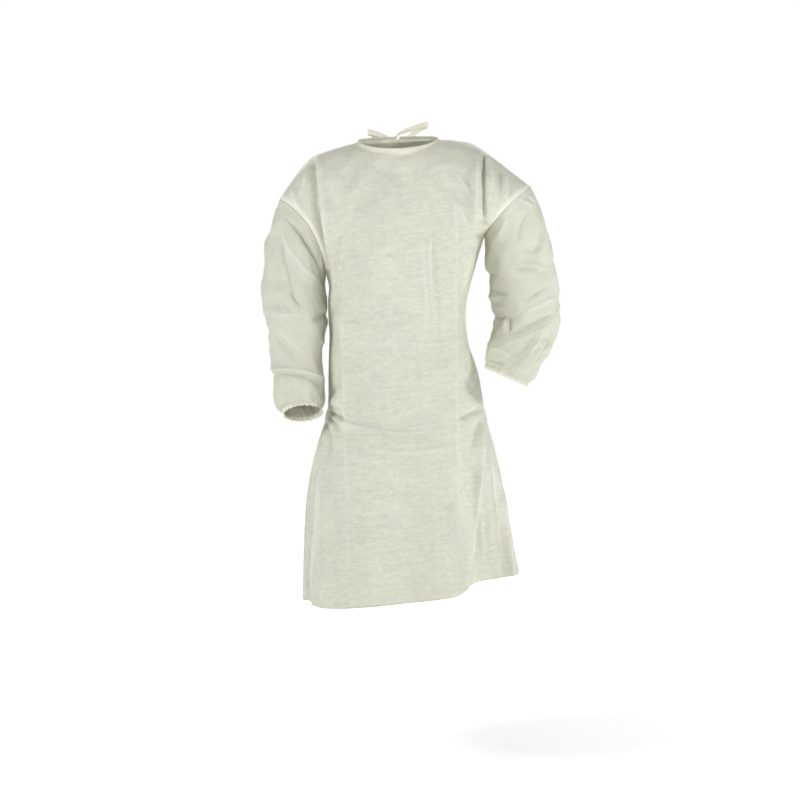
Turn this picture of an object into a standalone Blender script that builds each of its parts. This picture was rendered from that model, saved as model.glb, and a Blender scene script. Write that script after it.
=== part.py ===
"""Isolation gown, worn: a hollow nonwoven garment with long sleeves, open at the back and tied.

Metres, +Z up, the front faces -Y. The origin is the point between the shoulders, at the height
of the neck side points, from which the worn gown hangs. Left and right are the wearer's.
Every cloth piece is an open surface worked out from named sections, given its wall by Solidify.
"""
import math

import bpy
import numpy as np

COLLECTION = "isolation_gown"

WALL = 0.0015               # cloth wall of the solids
TRIM_WALL = 0.0012          # wall of the narrow strips: ties
GAP = 0.0003                # space left between neighbouring pieces
SHOULDER_COLS = 9           # mesh columns along one shoulder seam
NECK_COLS = 14              # mesh columns along the front neckline
LOOP_STEPS = 10             # mesh rows from the armpit to the top of the shoulder
SLEEVE_STEPS = 2            # mesh rings between two rows of a sleeve table
OVERLAP_COLS = 4            # columns by which each back panel passes the centre back
OVERLAP_DROP = 0.0045       # how far the under back panel lies inside the outer one
OVERLAP_SHARE = 0.30        # share of the rows, from the nape, over which they come to overlap
UNDER_START = 3.0           # columns inside the centre back where the under panel sinks
UNDER_REACH = 2.7           # columns it takes to sink
BINDING_HEIGHT = 0.006
BINDING_LEAN = 0.35         # how far the binding leans in to the neck, for 0.94 of rise
BINDING_RISE = 0.94
CUFF_RIPPLE = 0.0014        # depth of the small gathers of each cuff
CUFF_HEIGHT = 0.009
CUFF_FIRST = 0.4            # share of the cuff's height up to its middle ring
CUFF_GAP = 0.0004           # each side of the seam between a sleeve and its cuff
MOST_SETBACK = 0.006        # longest trim of a border next to a sharply turned neighbour
PLEAT_REACH = 0.066         # half width of the pleat beside the raised side of the skirt
TUCK_REACH = 0.015          # half width of the tuck beside the right side seam
LEAVE_ARMPITS = 1.05        # pull of a body column along its own run where it leaves the armpits
REACH_SHOULDERS = 0.62      # pull along the arriving direction at the shoulders and the neck
OVER_SHOULDER = (0.99, 0.10)    # arriving direction at the shoulder seam: y inwards, z
INTO_NECK = (0.55, 0.80)        # arriving direction at the neckline
NECK_START = 0.26           # share of the columns from a side to where the neck is felt
ARMHOLE_REACH = 0.34        # share of the columns over which the armhole's shape fades
BELOW_ARMPITS = 0.15        # table position just below the armpits, for the run of the columns
RELAX_PASSES = 8            # evening passes over the yoke of the body panels
TIE_STEPS = 26              # mesh steps along the free part of a tie
NECK_SPLIT = 0.24           # columns between the two back neck corners and the centre

FABRIC_RGB = (0.70, 0.71, 0.56)
BINDING_RGB = (0.76, 0.76, 0.62)

# Plan sections of the body from the armpits (first row) to the hem (last row): the heights
# at the wearer's right and left side seams, x and y of both seams, depth of the middle front
# and back, squareness, how much lower the middle hangs, the deep pleat beside the raised left
# side of the skirt (x and depth), and the depth of the tuck beside the right side seam.
SECTION_COLUMNS = (
    "z_right", "z_left", "x_right", "x_left", "y_right", "y_left",
    "y_front", "y_back", "power", "drop", "pleat_x", "pleat", "tuck",
)
SECTIONS = (
    (-0.2975, -0.2147, -0.1625, 0.1940, 0.00, 0.00, -0.136, 0.112, 2.3, 0.0, 0.160, 0.0, 0.0),
    (-0.3500, -0.2850, -0.1460, 0.1735, 0.00, 0.00, -0.139, 0.110, 2.4, 0.0, 0.160, 0.0, 0.0),
    (-0.4200, -0.3700, -0.1500, 0.1530, 0.00, 0.00, -0.133, 0.108, 2.4, 0.0, 0.160, 0.0, 0.0),
    (-0.4900, -0.4500, -0.1560, 0.1570, 0.00, 0.00, -0.130, 0.110, 2.4, 0.0, 0.160, 0.0, 0.0),
    (-0.5600, -0.5400, -0.1565, 0.1830, 0.00, 0.00, -0.134, 0.122, 2.5, 0.0, 0.165, 0.0, 0.0),
    (-0.6200, -0.6200, -0.1610, 0.1970, 0.00, 0.00, -0.140, 0.132, 2.6, 0.0, 0.170, 0.0, 0.0),
    (-0.7000, -0.6950, -0.1850, 0.2185, 0.00, 0.02, -0.146, 0.143, 2.8, 0.0, 0.180, 0.020, 0.01),
    (-0.8000, -0.7800, -0.2060, 0.2375, 0.02, 0.04, -0.154, 0.155, 2.9, -0.003, 0.192, 0.075, 0.04),
    (-0.9200, -0.8800, -0.2140, 0.2560, 0.03, 0.06, -0.163, 0.165, 2.9, -0.006, 0.203, 0.135, 0.07),
    (-1.0340, -0.9780, -0.2180, 0.2775, 0.05, 0.08, -0.171, 0.172, 2.9, -0.012, 0.213, 0.185, 0.11),
)
# Which heights of the table carry a mesh row, as table positions, from the hem up.
# The two rows at 5.16 and 4.84 are the edges of the waist ties.
ROW_STATIONS = (9.0, 8.3, 7.6, 7.0, 6.4, 5.8, 5.16, 4.84, 4.2, 3.5, 2.8, 2.1, 1.4, 0.7, 0.0)
TIE_ROWS = (6, 7)

# Shoulder seams from the neck side out to the top of the armhole.
POINT_COLUMNS = ("x", "y", "z")
SHOULDER_RIGHT = (
    (-0.0895, 0.000, -0.0080),
    (-0.1409, -0.002, -0.0225),
    (-0.1880, -0.003, -0.0400),
    (-0.2150, -0.003, -0.0650),
    (-0.2420, -0.002, -0.1010),
    (-0.2643, 0.000, -0.1343),
)
SHOULDER_LEFT = (
    (0.0895, 0.000, -0.0020),
    (0.1278, -0.002, -0.0045),
    (0.1678, -0.003, -0.0130),
    (0.2082, -0.003, -0.0395),
    (0.2530, -0.002, -0.0750),
    (0.2968, 0.000, -0.1076),
)
NECK_FRONT = (0.0, -0.078, -0.034)
NECK_BACK = (0.0, 0.070, 0.006)

# Sleeve rings from the armhole to the wrist, seen from the front: the outer and the inner
# point, the middle of the depth, half the depth, how much higher the front lies than the
# middle, and how far the seam line bows towards the body.
RING_COLUMNS = (
    "outer_x", "outer_z", "inner_x", "inner_z", "y", "depth", "front_up", "bow",
)
RINGS_RIGHT = (
    (-0.2643, -0.1343, -0.1625, -0.2975, 0.000, 0.075, 0.000, 0.024),
    (-0.2958, -0.2250, -0.1615, -0.3150, -0.002, 0.082, 0.000, 0.012),
    (-0.3030, -0.3260, -0.1600, -0.3400, -0.008, 0.085, 0.000, 0.000),
    (-0.2955, -0.4040, -0.1660, -0.4100, -0.018, 0.080, 0.000, 0.000),
    (-0.2890, -0.4720, -0.1715, -0.4740, -0.026, 0.075, 0.000, 0.000),
    (-0.2845, -0.5120, -0.1665, -0.5240, -0.031, 0.073, 0.004, 0.000),
    (-0.2800, -0.5330, -0.1635, -0.5480, -0.034, 0.067, 0.004, 0.000),
    (-0.2795, -0.5750, -0.1640, -0.5800, -0.038, 0.066, 0.006, 0.000),
    (-0.2710, -0.5990, -0.1655, -0.5920, -0.046, 0.054, 0.012, 0.000),
    (-0.2580, -0.6080, -0.1705, -0.6000, -0.049, 0.043, 0.020, 0.000),
)
RINGS_LEFT = (
    (0.2968, -0.1076, 0.1940, -0.2147, 0.000, 0.090, 0.000, 0.007),
    (0.3290, -0.1860, 0.1960, -0.2460, 0.005, 0.086, 0.000, 0.003),
    (0.3470, -0.2490, 0.1955, -0.2780, 0.010, 0.080, 0.000, 0.000),
    (0.3610, -0.3240, 0.2060, -0.3260, 0.020, 0.074, 0.000, 0.000),
    (0.3680, -0.3890, 0.2110, -0.3800, 0.025, 0.070, 0.000, 0.000),
    (0.3560, -0.4470, 0.2150, -0.4180, 0.005, 0.066, 0.000, 0.000),
    (0.3350, -0.4830, 0.2090, -0.4520, -0.020, 0.062, 0.000, 0.000),
    (0.3080, -0.5190, 0.1990, -0.4800, -0.050, 0.056, 0.000, 0.000),
    (0.2880, -0.5450, 0.1942, -0.5035, -0.072, 0.050, 0.000, 0.000),
)

# Largest folds, as lines seen from the front or the back, from (x0, z0) to (x1, z1).
# height is outwards, a valley is negative; reach is the half width of the fold.
FOLD_COLUMNS = ("name", "side", "x0", "z0", "x1", "z1", "height", "reach")
BODY_FOLDS = (
    ("right_arm_valley_top", "front", -0.196, -0.060, -0.186, -0.150, -0.012, 0.014),
    ("right_arm_valley_low", "front", -0.186, -0.150, -0.172, -0.275, -0.012, 0.014),
    ("right_chest_edge", "front", -0.166, -0.070, -0.158, -0.250, 0.008, 0.020),
    ("left_arm_valley", "front", 0.194, -0.045, 0.187, -0.190, -0.012, 0.014),
    ("left_chest_edge", "front", 0.168, -0.050, 0.166, -0.200, 0.007, 0.020),
    ("waist_pull_upper", "front", -0.150, -0.622, 0.020, -0.640, -0.005, 0.018),
    ("waist_roll", "front", -0.130, -0.655, 0.110, -0.640, 0.006, 0.022),
    ("right_crease", "front", -0.124, -0.360, -0.106, -1.040, 0.004, 0.016),
    ("left_crease", "front", 0.126, -0.240, 0.133, -1.010, 0.004, 0.016),
    ("skirt_hollow", "front", 0.010, -0.720, 0.020, -1.030, -0.006, 0.050),
    ("back_pleat_1", "back", -0.140, -0.640, -0.170, -1.040, 0.014, 0.020),
    ("back_pleat_2", "back", -0.085, -0.650, -0.100, -1.040, -0.010, 0.030),
    ("back_pleat_3", "back", 0.065, -0.650, 0.085, -1.030, 0.012, 0.028),
    ("back_pleat_4", "back", 0.125, -0.640, 0.150, -1.010, -0.012, 0.028),
    ("back_pleat_5", "back", 0.175, -0.640, 0.215, -1.000, 0.014, 0.020),
    ("back_arm_right", "back", -0.190, -0.060, -0.176, -0.260, -0.010, 0.016),
    ("back_arm_left", "back", 0.196, -0.050, 0.192, -0.190, -0.010, 0.016),
)
SLEEVE_FOLDS_RIGHT = (
    ("under_seam", "front", -0.250, -0.160, -0.192, -0.240, -0.006, 0.014),
    ("upper_valley", "front", -0.268, -0.200, -0.178, -0.318, -0.007, 0.016),
    ("elbow_ridge", "front", -0.250, -0.315, -0.180, -0.330, 0.005, 0.016),
    ("fore_valley", "front", -0.262, -0.440, -0.215, -0.500, -0.005, 0.018),
    ("cuff_roll", "front", -0.285, -0.512, -0.168, -0.530, 0.007, 0.014),
    ("cuff_roll_back", "back", -0.285, -0.515, -0.168, -0.530, 0.006, 0.014),
    ("back_elbow", "back", -0.280, -0.330, -0.180, -0.350, 0.006, 0.018),
    ("back_upper", "back", -0.270, -0.200, -0.185, -0.300, -0.006, 0.018),
)
SLEEVE_FOLDS_LEFT = (
    ("seam_hollow", "front", 0.276, -0.150, 0.232, -0.215, -0.006, 0.016),
    ("arm_ridge", "front", 0.255, -0.287, 0.330, -0.285, 0.005, 0.014),
    ("elbow_pull_1", "front", 0.360, -0.325, 0.250, -0.385, -0.006, 0.016),
    ("elbow_pull_2", "front", 0.360, -0.395, 0.248, -0.440, -0.006, 0.016),
    ("wrist_pull", "front", 0.200, -0.495, 0.240, -0.500, -0.004, 0.014),
    ("back_elbow_1", "back", 0.360, -0.340, 0.240, -0.370, -0.006, 0.018),
    ("back_elbow_2", "back", 0.355, -0.430, 0.240, -0.420, -0.006, 0.016),
)

# Free parts of the waist ties, from the knot down: x from the middle of the back, distance
# out from the cloth, height, direction of the width in x and z, width.
WAIST_TIE_COLUMNS = ("x", "out", "z", "width_x", "width_z", "width")
WAIST_TIE_LEFT_END = (
    (0.022, 0.0090, -0.6195, 0.00, 1.00, 0.020),
    (0.004, 0.0110, -0.6205, 0.00, 1.00, 0.016),
    (-0.012, 0.0110, -0.6290, -0.40, 0.90, 0.013),
    (-0.022, 0.0095, -0.6470, -0.80, 0.50, 0.014),
    (-0.028, 0.0070, -0.6900, -1.00, 0.10, 0.019),
    (-0.032, 0.0055, -0.7600, -1.00, 0.00, 0.022),
    (-0.038, 0.0060, -0.8600, -1.00, 0.00, 0.022),
)
WAIST_TIE_RIGHT_END = (
    (0.000, 0.0022, -0.6215, 0.00, 1.00, 0.016),
    (0.014, 0.0028, -0.6300, 0.40, 0.90, 0.013),
    (0.024, 0.0035, -0.6480, 0.80, 0.50, 0.014),
    (0.030, 0.0045, -0.6900, 1.00, 0.10, 0.019),
    (0.034, 0.0050, -0.7500, 1.00, 0.00, 0.022),
    (0.040, 0.0060, -0.8400, 1.00, 0.00, 0.022),
)
# Neck ties, from the binding's end through the loop of the bow to the free end.
STRIP_COLUMNS = ("x", "y", "z", "width_x", "width_y", "width_z", "width")
NECK_TIE_LEFT = (
    (0.0075, 0.0699, 0.0090, 0.00, -0.35, 0.94, 0.0055),
    (0.0040, 0.0704, 0.0080, 0.00, -0.25, 0.97, 0.0055),
    (-0.0020, 0.0785, 0.0025, 0.00, 0.00, 1.00, 0.0055),
    (-0.0160, 0.0870, 0.0060, 0.00, 0.00, 1.00, 0.0090),
    (-0.0400, 0.0900, 0.0170, 0.00, 0.00, 1.00, 0.0120),
    (-0.0620, 0.0910, 0.0240, 0.00, 0.00, 1.00, 0.0120),
    (-0.0690, 0.0965, 0.0245, 0.00, 0.00, 1.00, 0.0120),
    (-0.0600, 0.1020, 0.0200, 0.00, 0.10, 1.00, 0.0120),
    (-0.0350, 0.1040, 0.0080, 0.10, 0.10, 1.00, 0.0120),
    (-0.0160, 0.1060, -0.0070, 0.50, 0.00, 0.80, 0.0110),
    (-0.0110, 0.1120, -0.0300, 1.00, 0.00, 0.30, 0.0110),
    (-0.0150, 0.1220, -0.0750, 1.00, 0.00, 0.00, 0.0120),
    (-0.0200, 0.1290, -0.1250, 1.00, 0.00, 0.00, 0.0120),
)
NECK_TIE_RIGHT = (
    (-0.0075, 0.0699, 0.0090, 0.00, -0.35, 0.94, 0.0055),
    (-0.0040, 0.0704, 0.0110, 0.00, -0.25, 0.97, 0.0055),
    (0.0012, 0.0745, 0.0185, 0.00, 0.00, 1.00, 0.0055),
    (0.0160, 0.0830, 0.0255, 0.00, 0.00, 1.00, 0.0090),
    (0.0400, 0.0900, 0.0340, 0.00, 0.00, 1.00, 0.0120),
    (0.0600, 0.0910, 0.0400, 0.00, 0.00, 1.00, 0.0120),
    (0.0675, 0.0965, 0.0410, 0.00, 0.00, 1.00, 0.0120),
    (0.0580, 0.1020, 0.0360, 0.00, 0.10, 1.00, 0.0120),
    (0.0340, 0.1050, 0.0210, -0.10, 0.10, 1.00, 0.0120),
    (0.0140, 0.1080, 0.0020, -0.50, 0.00, 0.80, 0.0110),
    (0.0090, 0.1140, -0.0220, -1.00, 0.00, 0.30, 0.0110),
    (0.0130, 0.1230, -0.0650, -1.00, 0.00, 0.00, 0.0120),
    (0.0190, 0.1290, -0.1150, -1.00, 0.00, 0.00, 0.0120),
)


def rows_of(table, columns):
    """Turn a table of tuples into one array of numbers per named column."""
    return {name: np.array([row[i] for row in table], dtype=float)
            for i, name in enumerate(columns)}


def along(values, position):
    """Smooth value of a table column at a fractional row position."""
    last = len(values) - 1
    low = int(min(max(math.floor(position), 0), last - 1))
    t = position - low
    p1 = values[low]
    p2 = values[low + 1]
    p0 = values[low - 1] if low > 0 else 2.0 * p1 - p2
    p3 = values[low + 2] if low + 2 <= last else 2.0 * p2 - p1
    m1 = 0.5 * (p2 - p0)
    m2 = 0.5 * (p3 - p1)
    t2 = t * t
    t3 = t2 * t
    return ((2.0 * t3 - 3.0 * t2 + 1.0) * p1 + (t3 - 2.0 * t2 + t) * m1
            + (3.0 * t2 - 2.0 * t3) * p2 + (t3 - t2) * m2)


def resample(points, count):
    """Points at equal steps of length along a dense line, both ends kept."""
    lengths = np.linalg.norm(np.diff(points, axis=0), axis=1)
    travel = np.concatenate([[0.0], np.cumsum(lengths)])
    wanted = np.linspace(0.0, travel[-1], count + 1)
    return np.stack([np.interp(wanted, travel, points[:, axis]) for axis in range(3)], axis=1)


def smooth_step(t):
    """Ease from 0 to 1 with level ends."""
    t = np.clip(t, 0.0, 1.0)
    return t * t * (3.0 - 2.0 * t)


def normalised(vectors):
    """Unit vectors of the last axis."""
    size = np.linalg.norm(vectors, axis=-1, keepdims=True)
    return vectors / np.maximum(size, 1e-12)


def half_section(station, half, count):
    """One half of the plan section: front from right side to left, back from left to right."""
    row = {name: along(column, station) for name, column in SECTION.items()}
    angle = np.linspace(0.0, math.pi, 241)
    bend = 2.0 / row["power"]
    cos_part = np.sign(np.cos(angle)) * np.abs(np.cos(angle)) ** bend
    sin_part = np.abs(np.sin(angle)) ** bend
    middle = 0.5 * (row["x_right"] + row["x_left"])
    half_width = 0.5 * (row["x_left"] - row["x_right"])
    x = middle - half_width * cos_part
    share = (x - row["x_right"]) / (2.0 * half_width)
    y_side = row["y_right"] + share * (row["y_left"] - row["y_right"])
    y_far = row["y_front"] if half == "front" else row["y_back"]
    y = y_side + (y_far - y_side) * sin_part
    if half == "front":
        pleat = row["pleat"] * np.exp(-((x - row["pleat_x"]) / PLEAT_REACH) ** 4)
        tuck = row["tuck"] * np.exp(-((x - row["x_right"] - TUCK_REACH) / TUCK_REACH) ** 2)
        y = y + (pleat + tuck) * sin_part
    z = row["z_right"] + share * (row["z_left"] - row["z_right"])
    z = z + row["drop"] * sin_part
    points = resample(np.stack([x, y, z], axis=1), count)
    return points if half == "front" else points[::-1]


def smooth_table(rows, columns, count):
    """Columns of a short table drawn out to equal steps of length of its x, y and z."""
    fine = np.linspace(0.0, len(rows) - 1.0, 40 * len(rows))
    dense = {name: np.array([along(values, place) for place in fine])
             for name, values in rows_of(rows, columns).items()}
    points = np.stack([dense["x"], dense["y"], dense["z"]], axis=1)
    lengths = np.linalg.norm(np.diff(points, axis=0), axis=1)
    travel = np.concatenate([[0.0], np.cumsum(lengths)])
    wanted = np.linspace(0.0, travel[-1], count + 1)
    return {name: np.interp(wanted, travel, values) for name, values in dense.items()}


def shoulder_line(table, count):
    """Points of a shoulder seam from the neck side to the top of the armhole."""
    line = smooth_table(table, POINT_COLUMNS, count)
    return np.stack([line["x"], line["y"], line["z"]], axis=1)


def neck_line(half, count):
    """Neck edge from one neck side point to the other, seen from the front left to right."""
    low = np.array(NECK_FRONT if half == "front" else NECK_BACK)
    start = np.array(SHOULDER_RIGHT[0])
    end = np.array(SHOULDER_LEFT[0])
    angle = np.linspace(0.0, math.pi, 121)
    share = 0.5 - 0.5 * np.cos(angle)
    side = start[None, :] + share[:, None] * (end - start)[None, :]
    depth = np.sin(angle)[:, None]
    target = np.array([0.0, low[1], low[2] - 0.5 * (start[2] + end[2])])
    return resample(side + depth * target[None, :], count)


def ring_points(rings, position, half, count):
    """Half of a sleeve ring from its inner point to its outer point, on the front or back."""
    row = {name: along(column, position) for name, column in rings.items()}
    outer = np.array([row["outer_x"], row["y"], row["outer_z"]])
    inner = np.array([row["inner_x"], row["y"], row["inner_z"]])
    centre = 0.5 * (outer + inner)
    reach = 0.5 * (outer - inner)
    sense = -1.0 if half == "front" else 1.0
    depth = np.array([0.0, sense * row["depth"], -sense * row["front_up"]])
    side = np.array([-reach[2], 0.0, reach[0]]) * (1.0 if reach[0] < 0.0 else -1.0)
    bow = -side / np.linalg.norm(side) * row["bow"]
    angle = np.linspace(0.0, math.pi, count + 1)
    return (centre[None, :] - np.cos(angle)[:, None] * reach[None, :]
            + np.sin(angle)[:, None] * depth[None, :]
            + (np.sin(angle) ** 2)[:, None] * bow[None, :])


def upper_panel(half, bottom, below):
    """Rows above the armpits: from the section at the armpits to shoulder seams and neck."""
    shoulder_right = shoulder_line(SHOULDER_RIGHT, SHOULDER_COLS)
    shoulder_left = shoulder_line(SHOULDER_LEFT, SHOULDER_COLS)
    neck = neck_line(half, NECK_COLS)
    top = np.concatenate([shoulder_right[::-1], neck[1:-1], shoulder_left])
    right_loop = ring_points(SLEEVE_RIGHT, 0.0, half, LOOP_STEPS)
    left_loop = ring_points(SLEEVE_LEFT, 0.0, half, LOOP_STEPS)
    if half == "back":
        top = top[::-1]
        right_loop, left_loop = left_loop, right_loop
    columns = len(top)
    around = np.linspace(0.0, 1.0, columns)
    inward = 1.0 if half == "front" else -1.0
    from_side = 0.5 - np.abs(around - 0.5)
    at_neck = smooth_step((from_side - NECK_START) / NECK_START)[:, None]
    over_shoulder = np.array([0.0, OVER_SHOULDER[0] * inward, OVER_SHOULDER[1]])
    into_neck = np.array([0.0, INTO_NECK[0] * inward, INTO_NECK[1]])
    arrive = over_shoulder + at_neck * (into_neck - over_shoulder)
    reach = np.linalg.norm(top - bottom, axis=1)[:, None]
    leave = normalised(bottom - below) * reach * LEAVE_ARMPITS
    arrive = arrive * reach * REACH_SHOULDERS
    near_start = 1.0 - smooth_step(around / ARMHOLE_REACH)
    near_end = 1.0 - smooth_step((1.0 - around) / ARMHOLE_REACH)
    rows = []
    for step in range(1, LOOP_STEPS + 1):
        t = 0.5 - 0.5 * math.cos(math.pi * step / LOOP_STEPS)
        t = 0.5 * t + 0.5 * step / LOOP_STEPS
        t2 = t * t
        t3 = t2 * t
        base = ((2.0 * t3 - 3.0 * t2 + 1.0) * bottom + (t3 - 2.0 * t2 + t) * leave
                + (3.0 * t2 - 2.0 * t3) * top + (t3 - t2) * arrive)
        start_shift = right_loop[step] - base[0]
        end_shift = left_loop[step] - base[-1]
        row = (base + near_start[:, None] * start_shift[None, :]
               + near_end[:, None] * end_shift[None, :])
        rows.append(row)
    return rows


def grid_normals(grid):
    """Outward unit normals of a grid whose rows run up and whose columns run round."""
    across = np.gradient(grid, axis=1)
    upward = np.gradient(grid, axis=0)
    return normalised(np.cross(across, upward))


def tube_normals(grid):
    """Outward unit normals of a grid whose columns close on themselves."""
    closed = np.concatenate([grid[:, -1:], grid, grid[:, :1]], axis=1)
    return grid_normals(closed)[:, 1:-1]


def add_folds(grid, folds, half, hold=None):
    """Move the points of a grid out or in along the named fold lines."""
    normals = grid_normals(grid)
    offset = np.zeros(grid.shape[:2])
    for fold in folds:
        row = dict(zip(FOLD_COLUMNS, fold))
        if row["side"] != half:
            continue
        start = np.array([row["x0"], row["z0"]])
        line = np.array([row["x1"], row["z1"]]) - start
        length = np.linalg.norm(line)
        away = grid[:, :, (0, 2)] - start
        share = (away @ line) / length ** 2
        side = away - np.clip(share, 0.0, 1.0)[:, :, None] * line
        distance = np.linalg.norm(side, axis=2)
        offset += row["height"] * np.exp(-(distance / row["reach"]) ** 2)
    if hold is not None:
        offset = offset * hold
    return grid + normals * offset[:, :, None]


def edge_hold(shape, rows, columns):
    """Weights that fade to zero at the chosen edges, so that seams stay where they are."""
    hold = np.ones(shape)
    count_rows, count_columns = shape
    for index, end in enumerate(rows):
        distance = np.arange(count_rows) if index == 0 else np.arange(count_rows)[::-1]
        if end:
            hold = hold * smooth_step(distance / 2.0)[:, None]
    for index, end in enumerate(columns):
        distance = np.arange(count_columns) if index == 0 else np.arange(count_columns)[::-1]
        if end:
            hold = hold * smooth_step(distance / 2.0)[None, :]
    return hold


def relax(grid, first_row, passes):
    """Even out the rows above the armpits sideways; borders and neighbours keep their place."""
    rows, columns = grid.shape[:2]
    place = np.arange(columns)
    from_side = np.minimum(place, place[::-1])
    weight = (smooth_step((np.arange(rows) - first_row) / 3.0)[:, None]
              * smooth_step(from_side / 4.0)[None, :])
    weight[-1] = 0.0
    for _ in range(passes):
        between = 0.5 * (np.roll(grid, 1, axis=1) + np.roll(grid, -1, axis=1))
        grid = grid + 0.5 * weight[:, :, None] * (between - grid)
    return grid


def body_grid(half):
    """All rows of the front or the back of the body, from the hem up."""
    count = 2 * SHOULDER_COLS + NECK_COLS
    rows = [half_section(station, half, count) for station in ROW_STATIONS]
    below = half_section(BELOW_ARMPITS, half, count)
    rows = rows + upper_panel(half, rows[-1], below)
    grid = relax(np.array(rows), len(ROW_STATIONS) - 1, RELAX_PASSES)
    hold = edge_hold(grid.shape[:2], (False, True), (True, True))
    return add_folds(grid, BODY_FOLDS, half, hold)


def sleeve_grid(rings, folds, mirror):
    """Rings of a sleeve from the armhole to the wrist; columns run round from the armpit."""
    table_rows = len(rings["outer_x"])
    count = SLEEVE_STEPS * (table_rows - 1)
    rows = []
    for index in range(count + 1):
        position = index / SLEEVE_STEPS
        front = ring_points(rings, position, "front", LOOP_STEPS)
        back = ring_points(rings, position, "back", LOOP_STEPS)
        first, second = (back, front) if mirror else (front, back)
        rows.append(np.concatenate([first, second[::-1][1:-1]]))
    grid = np.array(rows)
    normals = tube_normals(grid)
    offset = np.zeros(grid.shape[:2])
    for fold in folds:
        row = dict(zip(FOLD_COLUMNS, fold))
        start = np.array([row["x0"], row["z0"]])
        line = np.array([row["x1"], row["z1"]]) - start
        away = grid[:, :, (0, 2)] - start
        share = np.clip((away @ line) / (line @ line), 0.0, 1.0)
        distance = np.linalg.norm(away - share[:, :, None] * line, axis=2)
        facing = normals[:, :, 1] if row["side"] == "back" else -normals[:, :, 1]
        offset += (row["height"] * np.exp(-(distance / row["reach"]) ** 2)
                   * smooth_step(facing / 0.5))
    hold = edge_hold(grid.shape[:2], (True, True), (False, False))
    return grid + normals * (offset * hold)[:, :, None]


def border(grid, normals, side, keep, backwards=False):
    """Where a border runs, its surface normals and the directions into the piece."""
    rows, columns = grid.shape[:2]
    keep = np.array(keep)
    index = {
        "first": (keep, np.zeros_like(keep)),
        "last": (keep, np.full_like(keep, columns - 1)),
        "low": (np.zeros_like(keep), keep % columns),
        "top": (np.full_like(keep, rows - 1), keep % columns),
    }[side]
    tangent = normalised(np.gradient(grid[index], axis=0))
    facing = normals[index]
    inward = normalised(np.cross(tangent, facing))
    if side in ("last", "low"):
        inward = -inward
    if backwards:
        index = (index[0][::-1], index[1][::-1])
        inward = inward[::-1]
        facing = facing[::-1]
    return {"index": index, "inward": inward, "facing": facing}


def setback(piece, other):
    """Distances to trim a border back along its own surface, next to a neighbour's border."""
    cosine = np.sum(piece["inward"] * other["inward"], axis=1)
    half_angle = 0.5 * np.arccos(np.clip(cosine, -1.0, 0.995))
    room = 0.5 * GAP / np.sin(half_angle)
    bends_in = np.sum(other["inward"] * piece["facing"], axis=1) < -0.02
    room = room + np.where(bends_in, WALL / np.tan(half_angle), 0.0)
    return np.minimum(room, MOST_SETBACK)[:, None]


def part_seam(shift_a, a, shift_b, b, halve):
    """Pull the two borders of one seam apart; halve if the end points of b have two seams."""
    ends = np.ones((len(a["inward"]), 1))
    if halve:
        ends[0] = 0.5
        ends[-1] = 0.5
    np.add.at(shift_a, a["index"], a["inward"] * setback(a, b))
    np.add.at(shift_b, b["index"], b["inward"] * setback(b, a) * ends)


def material(name, colour, roughness):
    """One Principled material of its own for a piece."""
    made = bpy.data.materials.new(name)
    made.use_nodes = True
    shader = made.node_tree.nodes["Principled BSDF"]
    shader.inputs["Base Color"].default_value = (colour[0], colour[1], colour[2], 1.0)
    shader.inputs["Roughness"].default_value = roughness
    shader.inputs["Metallic"].default_value = 0.0
    return made


def cloth_object(name, grid, closed, wall, colour, outward):
    """A shell from a grid of points: open surface, then Solidify gives it its wall."""
    count_rows, count_columns = grid.shape[:2]
    faces = []
    last = count_columns if closed else count_columns - 1
    for i in range(count_rows - 1):
        for j in range(last):
            k = (j + 1) % count_columns
            low = i * count_columns
            high = low + count_columns
            faces.append((low + j, low + k, high + k, high + j))
    mesh = bpy.data.meshes.new(name)
    mesh.from_pydata([tuple(point) for point in grid.reshape(-1, 3)], [], faces)
    mesh.update()
    for polygon in mesh.polygons:
        polygon.use_smooth = True
    mesh.set_sharp_from_angle(angle=math.radians(40.0))
    item = bpy.data.objects.new(name, mesh)
    COLLECTED.objects.link(item)
    mesh.materials.append(material(name + "_cloth", colour, 0.85))
    shell = item.modifiers.new("wall", "SOLIDIFY")
    shell.thickness = wall
    shell.offset = 1.0 if outward else -1.0
    shell.use_even_offset = True
    shell.use_rim = True
    return item


def widened(rows, count):
    """A strip from rows of x, y, z, the direction of its width, and the width there."""
    line = smooth_table(rows, STRIP_COLUMNS, count)
    centre = np.stack([line["x"], line["y"], line["z"]], axis=1)
    side = np.stack([line["width_x"], line["width_y"], line["width_z"]], axis=1)
    side = normalised(side) * (0.5 * line["width"][:, None])
    return np.stack([centre - side, centre + side])


def back_panel(back, reach_per_row, keep_columns):
    """One back panel: its columns drawn out or in from the neck side to its free edge."""
    rows = []
    for line, reach in zip(back, reach_per_row):
        first = SHOULDER_COLS
        count = keep_columns - first
        places = first + np.arange(count + 1) * (reach - first) / count
        places = np.concatenate([np.arange(first), places])
        low = np.minimum(np.floor(places).astype(int), back.shape[1] - 2)
        t = (places - low)[:, None]
        rows.append(line[low] * (1.0 - t) + line[low + 1] * t)
    return np.array(rows)


for old in list(bpy.data.objects):
    bpy.data.objects.remove(old, do_unlink=True)
COLLECTED = bpy.data.collections.new(COLLECTION)
bpy.context.scene.collection.children.link(COLLECTED)

SECTION = rows_of(SECTIONS, SECTION_COLUMNS)
SLEEVE_RIGHT = rows_of(RINGS_RIGHT, RING_COLUMNS)
SLEEVE_LEFT = rows_of(RINGS_LEFT, RING_COLUMNS)

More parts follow.
